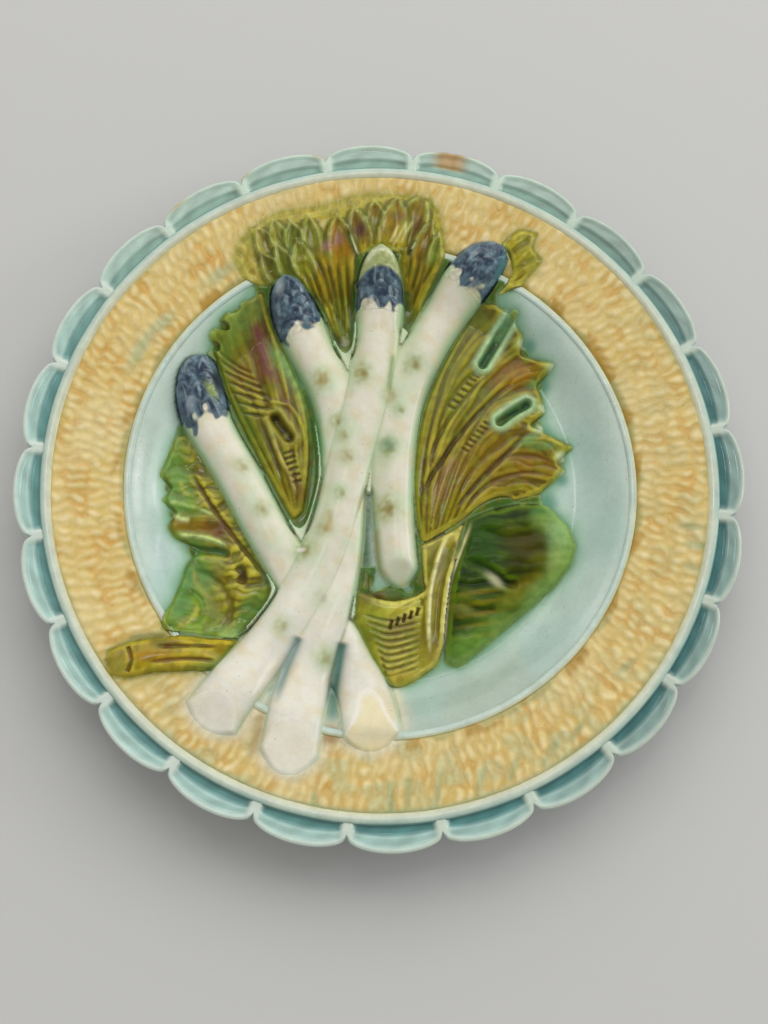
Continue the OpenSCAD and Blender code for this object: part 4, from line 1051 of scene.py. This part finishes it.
# Painted shade: near-black green down the narrow gaps beside the spears' tips, darkest to the right of tip
# b. The pale stroke after them is a painted glint.
brush(fan_mask * 0.95 * trough([(-8.6, 68), (-8.7, 60), (-8.6, 53)], 1.5, 3), (26, 40, 12))
brush(fan_mask * 0.95 * trough([(-21.5, 64), (-17.4, 55.6), (-13.6, 48.5)], 1.6, 3), (44, 46, 22))
brush(fan_mask * 0.95 * trough([(8.4, 66), (7.8, 58), (7.2, 50.5)], 1.4, 3), (28, 44, 18))
stain([(-11.4, 66), (-11, 60), (-10.2, 54)], 0.45, (150, 168, 96), 0.7)
brush(top_mask * 0.6 * spot(48, 77, 5, 7) * (plan_x > 30), (134, 134, 50))


# Four spears lie across the plate, the lower ones tucking under the upper ones. They are
# flat domes along smooth lines; three flare to a slanted, oval cut.
spear_w = 14.4
routes = {
    "a": [(-57, 43), (-58.2, 34), (-55.8, 22), (-45.6, 4), (-37.5, -11.5), (-29, -26), (-21, -38),
          (-14, -48), (-9.6, -57.6), (-4.8, -67.6), (-2.4, -83.2)],
    "b": [(-31.5, 69.5), (-28.5, 60), (-23.5, 48.5), (-15.5, 31), (-12, 13), (-12, -5), (-12.8, -20),
          (-15.5, -36), (-20, -50.4), (-24.8, -66.4), (-28.8, -90)],
    "c": [(0, 80), (-0.2, 69), (-0.4, 57), (-1.8, 45), (-5.2, 28), (-10, 10), (-14, -8), (-19.5, -24),
          (-27.2, -38.4), (-36.8, -52.8), (-46.4, -66.4), (-53.5, -77)],
    "d": [(40, 79), (31.5, 72.8), (21.6, 60), (14, 47.2), (8.4, 35), (5.2, 20), (4, 4), (4.4, -12),
          (6.2, -30)]}
tip_share = {"a": 0.19, "b": 0.18, "c": 0.17, "d": 0.2}
spear_number = {letter: first_spear + k for k, letter in enumerate("abdc")}
tip_number = {letter: first_tip + k for k, letter in enumerate("abcd")}


def domed(across):
    """Height from 0 to 1 of a flat dome, by the place across it from -1 to 1."""
    return np.clip(1 - np.abs(across) ** 2.3, 0, 1) ** 0.6


def spear_places(letter):
    """On the whole plan: share of the way from apex to cut, millimetres to the cut, place
    across the spear from -1 to 1, and its half width there."""
    stretch, share, side = near(routes[letter], 15, 200)
    widths = [1.14, 1.14, 1.02, 0.98, 0.96, 0.86] if letter == "d" else [1.14, 1.14, 1.02, 1, 1.05, 1.3]
    half = spear_w / 2 * np.interp(share, [0, 0.15, 0.25, 0.6, 0.75, 1], widths)
    ogive = 0.14 + 0.86 * np.sqrt(1 - (1 - np.clip(share / tip_share[letter], 0, 1)) ** 2.2)
    length = np.hypot(*np.diff(smooth_line(routes[letter], 200), axis=0).T).sum()
    across = np.where(share < -0.004, 9, side / (half * ogive))
    fields = []
    for value, empty in ((share, 2.0), ((1 - share) * length, -9.0), (across, 9.0), (half * ogive, 6.0)):
        field = np.full(plan_x.shape, empty)
        field[stretch] = value
        fields.append(field)
    return fields


places_of = {letter: spear_places(letter) for letter in "abcd"}
seat = softened(bed, 6.0)
rise_of, face_of = {}, {}
for letter, upper, height in (("a", "bc", 5.8), ("b", "c", 5.9), ("d", "bc", 5.9), ("c", "", 6.6)):
    share, left, across, half = places_of[letter]
    crest = np.maximum(0.7 * height, seat + height - bed)
    crest = crest * (0.68 + 0.32 * smooth(share / 0.16))
    if letter != "d":
        crest = crest * (1 - 0.3 * smooth((share - 0.72) / 0.28))
    hidden = np.zeros(plan_x.shape, bool)
    for other in upper:
        off = (np.abs(places_of[other][2]) - 1) * places_of[other][3]
        crest = crest * (0.72 + 0.28 * smooth(off / 5))
        hidden |= off < -1.0
    rise = 0.8 + (crest - 0.8) * domed(across)
    face = 0.9 + 0.3 * left + 0.3 * across**2 if letter != "d" else 1.6 + 0.8 * left
    gap = np.clip(0.5 + 0.5 * (rise - face) / 0.5, 0, 1) * (left < 18)
    rise = rise * (1 - gap) + face * gap - 0.5 * gap * (1 - gap)
    there = (np.abs(across) < 1) & (share < 1.5) & (left - 5 * across**2 > -1.5) & ~hidden
    over = np.where(there, rise, -2.0)
    rise_of[letter], face_of[letter] = over, gap * there
    lay(spear_number[letter], over, blend=1.2, blur=0.6)

bundle = [(-2, 42), (-5, 24), (-9, 6), (-14, -13), (-20, -30), (-27, -44)]
stems = owned(first_spear) * 1.0
closed = (softened(stems, 2.5) > 0.42) & (trough(bundle, 16, 8) > 0.5)
closed &= ~owned(first_spear) & ~((plan_x > -8) & (plan_x < 1) & (plan_y < -1))
stems = np.maximum(stems, closed)
owner[closed] = np.where(plan_x[closed] > 0.5, spear_number["d"], spear_number["c"])
crust = softened(clay * (stems - closed), 3.0) / np.maximum(softened(stems - closed, 3.0), 0.02)
clay = np.where(closed, crust, clay)
crust = softened(clay * stems, 3.0) / np.maximum(softened(stems, 3.0), 0.02)
flat = 0.8 * trough(bundle, 16, 6) * smooth((softened(stems, 1.8) - 0.84) / 0.16) * (stems > 0)
clay = clay + (crust - clay) * flat
bracts = ((-19, 36, 3.2, 75), (-6.1, 38, 3.3, 90), (10.6, 41.4, 3.4, 65), (3.2, 31, 2.8, 85),
          (-14.4, 22.3, 2.4, 80), (2.3, 13.5, 3.4, 88), (-10.8, 10, 2.6, 80), (1.9, -7, 4.0, 90),
          (-24.5, -20.5, 3.4, 70), (-18, -13.5, 2.8, 85), (-18.4, -36, 2.8, 75), (-17.3, -55, 3.0, 80),
          (-44.2, 6.5, 2.4, 120), (-37.6, -7.6, 2.6, 120), (6, 26, 2.2, 80), (-12, 17, 2.0, 85),
          (-31, -45, 2.4, 60), (-13, -2, 2.0, 85))
for x, y, size, turn in bracts:
    bud_mark = spot(x, y, size, size * 0.7, turn) - 0.6 * spot(x, y, size * 0.6, size * 0.4, turn)
    clay = clay + 0.14 * bud_mark * owned(first_spear)
slits = ([(-25.6, -48), (-26.6, -51), (-29.7, -58.9), (-33.5, -71.3)],
         [(-11.6, -49.5), (-12.4, -53), (-13.9, -61.9), (-15.3, -72.8)])
for line in slits:
    carve(line, 1.2, 1.4)
spear_mask = soft(owned(first_spear))
edge_tint = np.zeros(plan_x.shape)
for letter, number in spear_number.items():
    edge_tint = np.where(owner == number, np.abs(places_of[letter][2]), edge_tint)
edge_tint = softened(edge_tint, 0.6)
upper_part = smooth((plan_y + 52) / 22)
brush(spear_mask, (222, 217, 198))
brush(spear_mask * 0.5 * (1 - upper_part), (218, 217, 208))
outline = 1 - smooth((soft(owned(first_spear), 1.9) - 0.5) / 0.46)
brush(spear_mask * 0.5 * upper_part * smooth((edge_tint - 0.5) / 0.45), (190, 212, 170))
brush(spear_mask * 0.4 * smooth((plan_y - 30) / 20) * smooth((edge_tint - 0.3) / 0.5), (176, 190, 132))
brush(spear_mask * (0.3 + 0.6 * upper_part) * outline, (158, 206, 158))
brush(spear_mask * 0.45 * upper_part * np.clip(clouds(15, 4), 0, 1), (190, 212, 172))
brush(spear_mask * 0.45 * np.clip(clouds(7, 8), 0, 1), (214, 198, 158))
brush(spear_mask * 0.3 * (1 - upper_part) * np.clip(clouds(19, 2), 0, 1), (216, 196, 140))
crease = clay - softened(clay, 1.6)
brush(spear_mask * 0.5 * smooth((-crease - 0.05) / 0.5), (164, 182, 140))
for k, (x, y, size, turn) in enumerate(bracts):
    deep = 0.8 if size > 3.0 else 0.55
    blotch = (0.75 + 0.35 * clouds(2.6, k)) * spot(x, y, size * 1.1, size * 0.9, turn)
    brush(spear_mask * 0.55 * spot(x, y, size * 1.7, size * 1.5, turn), (180, 204, 160))
    brush(spear_mask * deep * blotch, ((170, 150, 82), (152, 146, 66), (140, 154, 90))[k % 3])
    heart = spot(x + 0.6, y - 0.5, size * 0.5, size * 0.4, turn + 40)
    brush(spear_mask * 0.8 * deep * heart, (136, 116, 48))
dab(spear_mask, (
    (0.9, (-25, -20.5, 1.4, 0.8), (232, 228, 214)), (0.6, (2.3, 14, 2.6, 2.2), (116, 156, 128))))
stain([(-37, 50), (-31, 42), (-24, 31), (-20.4, 19), (-18.8, 7)], 2.4, (132, 186, 128), 0.75)
stain([(4.2, 46), (3.4, 39), (2.4, 31)], 1.0, (126, 150, 84), 0.8)
stain([(5.4, 46), (4.8, 40), (3.8, 34)], 0.5, (206, 212, 176), 0.6)
stain([(-9.6, 44), (-9.4, 36), (-9.8, 28)], 0.7, (196, 206, 168), 0.6)
stain([(-22, -25), (-19, -14), (-17, -4), (-15, 8)], 1.2, (180, 190, 140), 0.35)
stain([(-16.5, -16), (-16, -11), (-16.5, -7)], 1.2, (170, 142, 80), 0.5)
stain([(-1, -12), (-1.2, -20), (0, -28)], 1.0, (176, 150, 96), 0.5)
# Painted highlights: a pale streak along the crest of spear c at its waist, and a broad pale sheen where
# the spears cross.
stain([(-27, -33), (-28, -43)], 1.6, (240, 238, 226), 0.5)
brush(spear_mask * 0.4 * spot(-20, -38, 12, 10), (238, 238, 226))
for letter, cut_tone in (("a", (226, 212, 160)), ("b", (240, 236, 218)), ("c", (240, 236, 220))):
    face = softened(face_of[letter] * (owner == spear_number[letter]), 0.35)
    brush(0.6 * smooth((face - 0.45) / 0.4), cut_tone)
    # Painted highlight: a pale ring round the rim of each cut face.
    brush(0.5 * smooth(1 - np.abs(face - 0.42) / 0.35) * (face > 0.02), (238, 234, 222))
for line, tint in zip(slits, ((148, 170, 168), (70, 122, 116))):
    stain(line, 1.8, tint, 0.9)
brush(spear_mask * 0.7 * smooth((-plan_y - 79) / 7) * (plan_x > -14), (222, 204, 150))
spear_glaze = glazed("spear_glaze", 0.22, 0.05, 4, 0.45, 0.09, 0.08)


# Each tip is a bud of overlapping scales in a cobalt slip, thin on the scales' edges, dark
# in the gaps and ragged where it ends on the pale stem.
for letter, number in tip_number.items():
    share, left, across, half = places_of[letter]
    onward = share / tip_share[letter]
    row = onward * 4.5 + 0.55 * np.abs(np.cos(np.pi * 1.4 * across + np.pi * np.floor(onward * 4.5) / 2))
    lap = row - np.floor(row)
    scales = rise_of[letter] + (0.1 + 0.6 * (1 - lap) * domed(across)) * smooth((1.0 - onward) / 0.2)
    bud = np.where((onward < 1.0) & (rise_of[letter] > -1), scales, -2.0)
    lay(number, bud, blend=0.35, blur=0.35)
    mine = soft((owner == number) | (owner == spear_number[letter]))
    ragged = 0.93 + 0.07 * np.sin(across * 5 + number) + 0.035 * np.sin(across * 12 + number * 2)
    ragged = ragged + 0.06 * clouds(4.0, number + 5)
    ragged = ragged + (0.14 if letter == "a" else 0.0)
    slip = mine * smooth((ragged - onward) / 0.08) * (np.abs(across) < 1.3)
    over_mean = clay - softened(clay, 0.8)
    runs_down = ripple(across * half, 0.3 * left, 2.6, number)
    patch = clouds(5.0, number) + 0.5 * clouds(2.0, number + 2)
    brush(slip * 0.97, (50, 73, 90))
    brush(slip * 0.85 * smooth((patch - 0.1) / 0.4), (36, 52, 76))
    brush(slip * 0.7 * smooth((runs_down - 0.35) / 0.5), (134, 152, 156))
    brush(slip * 0.55 * smooth((-patch - 0.3) / 0.4), (100, 128, 142))
    brush(slip * 0.7 * smooth(-over_mean / 0.14), (30, 44, 62))
    brush(slip * 0.3 * smooth((over_mean - 0.04) / 0.2), (120, 142, 156))
tip_mask = soft(owned(first_tip), 0.3)
dab(tip_mask, (
    (0.92, (-51.5, 35.5, 4.2, 3.6, -50), (34, 42, 46)),
    (0.85, (-54.5, 31.5, 1.4, 3.0, 30), (152, 168, 88)), (0.8, (-61, 26, 1.5, 2.6), (150, 160, 172))))
crescent = smooth((plan_y - 72.4 + 0.07 * plan_x**2) / 1.6) * (np.abs(plan_x) < 10)
brush(tip_mask * 0.9 * crescent, (176, 186, 122))
glint = trough([(-4.4, 75), (-2.5, 77.4), (0.4, 78.4), (3.2, 77.2)], 0.8, 3)
brush(tip_mask * 0.8 * glint, (216, 220, 184))
dab(tip_mask, (
    (0.85, (39, 70, 1.9, 8, -16), (70, 130, 132)), (0.5, (-33, 66, 1.5, 3), (186, 198, 196))))
tip_glaze = glazed("tip_glaze", 0.14, 0.22, 1.6, 0.2, 0.0, 0.05)
for letter, number in spear_number.items():
    pressed("spear_" + letter, number, spear_glaze, "spear_" + letter)
for letter, number in tip_number.items():
    pressed("tip_" + letter, number, tip_glaze, "tip_" + letter)


# The glazes ran before they set. Clay and dark green glaze fill the narrow gaps between the
# leaves and the spears, and green spread from the leaves over the dish and the basketwork;
# shade is painted on the dish at the feet of the raised pieces.
in_well = smooth((80.5 - plan_r) / 1.5)
narrow = (soft(owned(1), 2.4) > 0.47) & (plan_r < 79) & (plan_y > -47 - 6 * (plan_x < -30))
narrow |= trough([(-3.6, -6), (-4.2, -17), (-4.8, -29), (-6.8, -37)], 2.4, 6) > 0.5
narrow |= trough([(-7, -38), (-2, -37.6), (4, -35.5)], 4.2, 6) > 0.5
fan_near, fan_middle, fan_far = range(first_top + 1, first_top + 4)
filled = grow((*range(right_leaf, left_stalk + 1), fan_near, fan_far), narrow & (owner == 0), 0.9)
brush(filled, (62, 98, 24))
brush(filled * 0.5 * np.clip(clouds(6, 5), 0, 1), (100, 92, 8))
brush(filled * 0.9 * trough([(-7, -38), (-3, -36.6), (0, -35.5)], 2.6, 2), (92, 56, 8))
brush(filled * 0.7 * spot(-3.4, -10, 1.2, 7), (126, 172, 140))
for first, second in ((right_leaf, right_stalk), (right_leaf, right_fold), (right_fold, right_stalk),
                      (left_outer, left_stalk), (fan_near, fan_middle), (fan_middle, fan_far)):
    merged(first, second)
solid = soft(owned(1), 1.5)
thin = 0.22 + 0.78 * smooth((solid - 0.5) / 0.42)
broad = soft(owned(1), 3.6)
thin = thin * (1 - wild) + wild * (0.14 + 0.86 * smooth((broad - 0.5) / 0.48))
thin = np.maximum(thin, 0.75 * bell((plan_r - well_r) / 3.0, 4))
bank = 2.6 * soft(owned(first_spear), 2.0)
leaf_top = np.maximum(bed + (clay - bed) * thin, bed + bank)
leaf_top = np.maximum(leaf_top, bed + 0.95 * bell((plan_r - well_r) / 1.8, 4))
clay = np.where(owned(1, first_spear), leaf_top, clay)
leaf_mask = soft(owned(1, first_spear))
brush(leaf_mask * 0.7 * smooth((soft(owned(first_spear), 1.6) - 0.03) / 0.35), (60, 98, 26))
near_bare = smooth((soft(owner == 0, 1.3) - 0.08) / 0.4)
uneven = np.clip(0.5 + 0.7 * clouds(9, 6), 0, 1)
brush(leaf_mask * 0.7 * near_bare * in_well * uneven, (140, 172, 104))
brush(leaf_mask * 0.6 * near_bare * in_well * (1 - uneven), (66, 112, 60))
fading = smooth((soft(owner == 0, 2.8) - 0.1) / 0.42)
brush(soft(owner == right_fold) * 0.75 * fading * in_well, (140, 170, 120))
brush(leaf_mask * (0.7 - 0.4 * wild) * near_bare * (1 - in_well), (146, 144, 66))
ribbed = soft(owned(1, first_spear) & (owner != right_fold))
brush(ribbed * 0.32 * smooth((clouds(4.6, 9) - 0.1) / 0.5), (100, 88, 8))
brush(ribbed * 0.22 * smooth((clouds(6.2, 4) - 0.2) / 0.5), (126, 146, 50))
tone[..., 2] = tone[..., 2] * (1 - 0.35 * leaf_mask)
for line in slots:
    brush(leaf_mask * 0.8 * (trough(line, 3.1) - trough(line, 1.9)), (178, 208, 176))
# Pale lobe tips again: thin glaze over the points, with a painted highlight.
for x, y in lobe_tips:
    brush(leaf_mask * 0.75 * spot(x + 0.6, y, 1.7, 1.5), (200, 214, 176))
leaves = [("right_leaf", right_leaf, "leaf_right"), ("right_stalk", right_stalk, "leaf_right_stalk"),
          ("left_inner_leaf", left_inner, "leaf_left_inner"),
          ("left_outer_leaf", left_outer, "leaf_left_outer"), ("left_stalk", left_stalk, "leaf_left_stalk")]
leaves += [("top_leaf_" + place, first_top + k, "leaf_top_" + place) for k, place in enumerate(top_leaves)]
for name, number, node_name in leaves:
    pressed(name, number, leaf_glaze, node_name)
pressed("right_fold", right_fold, fold_glaze, "leaf_right_fold")

bare = soft(owner == 0)
leafy = soft(owned(1, first_spear), 2.4)
wash = soft(owned(1, first_spear), 5.0) * (0.7 + 0.5 * clouds(17, 3))
brush(bare * 0.6 * smooth(wash / 0.4) * in_well, (152, 188, 166))
brush(bare * 0.75 * smooth((leafy - 0.03) / 0.42) * in_well, (116, 166, 126))
milky = soft(owned(first_spear) & (plan_y < -44), 3.0)
brush(bare * 0.75 * smooth(milky / 0.4), (214, 206, 176))
brush(bare * 0.55 * smooth((leafy - 0.04) / 0.42) * (1 - in_well), (160, 156, 74))
# Painted shade: dark teal in the notches between the right leaf's lobes, over the green that pooled there.
for x, y, size in ((48.4, 48.6, 2.4), (52.6, 35.4, 2.6), (52.4, 19, 3.4), (58.6, 4, 2.2), (54, -3.4, 3)):
    brush(bare * 0.7 * spot(x, y, size, size), (74, 134, 112))
# Painted shadow: a dark teal-green line on the dish along the foot of the leaves, spears and tips.
painted_foot_shadow = smooth((soft(owned(1), 0.7) - 0.1) / 0.4)
brush(bare * 0.7 * painted_foot_shadow * in_well, (76, 126, 84))
stain([(-3.4, 0), (-4.0, -9), (-4.6, -18), (-4.6, -30)], 2.2, (52, 92, 40), 0.95)
stain([(-5, -30), (-5.5, -35), (-6.5, -40)], 2.0, (76, 50, 18), 0.85)
brush(bare * 0.85 * trough([(-29.5, -58), (-33, -70)], 2.6, 2), (150, 174, 172))
brush(bare * 0.85 * trough([(-13.5, -60), (-15, -73)], 2.8, 2), (74, 126, 114))
dab(bare, (
    (0.85, (-15.5, -79.5, 3.4, 3), (132, 96, 26)), (0.7, (-37.5, -79, 2.4, 8, -14), (168, 142, 74))))
runs = ((3, -99, 5, 90), (8, -98, 6, 85), (17, -97, 5, 80), (30, -94, 5, 74), (40, -90, 5, 66),
        (52, -84, 5, 58), (60, -78, 4, 52), (-20, -99.5, 3, 96), (98, -14, 4, 172), (99, -20, 4, 168),
        (97, -27, 3, 165), (76, -58, 4, 40))
for x, y, along, turn in runs:
    brush(bare * 0.5 * spot(x, y, along, 1.3, turn), (126, 154, 112))
brush(bare * 0.5 * smooth((plan_r - 101.5) / 2) * smooth(-plan_y / 90) * (plan_r < 104.5), (126, 158, 130))
for piece_name in ("dish", "basketwork"):
    mesh = bpy.data.objects[piece_name].data
    places = np.empty(len(mesh.vertices) * 3)
    mesh.vertices.foreach_get("co", places)
    places = places.reshape(-1, 3) / mm
    coat = np.empty(len(mesh.vertices) * 4, np.float32)
    mesh.color_attributes["Glaze"].data.foreach_get("color", coat)
    coat = coat.reshape(-1, 4)
    upper = places[:, 2] > dish_z(np.hypot(places[:, 0], places[:, 1])) - 0.6
    coat[upper, :3] = np.clip(level(tone, places[upper, 0], places[upper, 1]), 0, 1)
    mesh.color_attributes["Glaze"].data.foreach_set("color", coat.ravel())
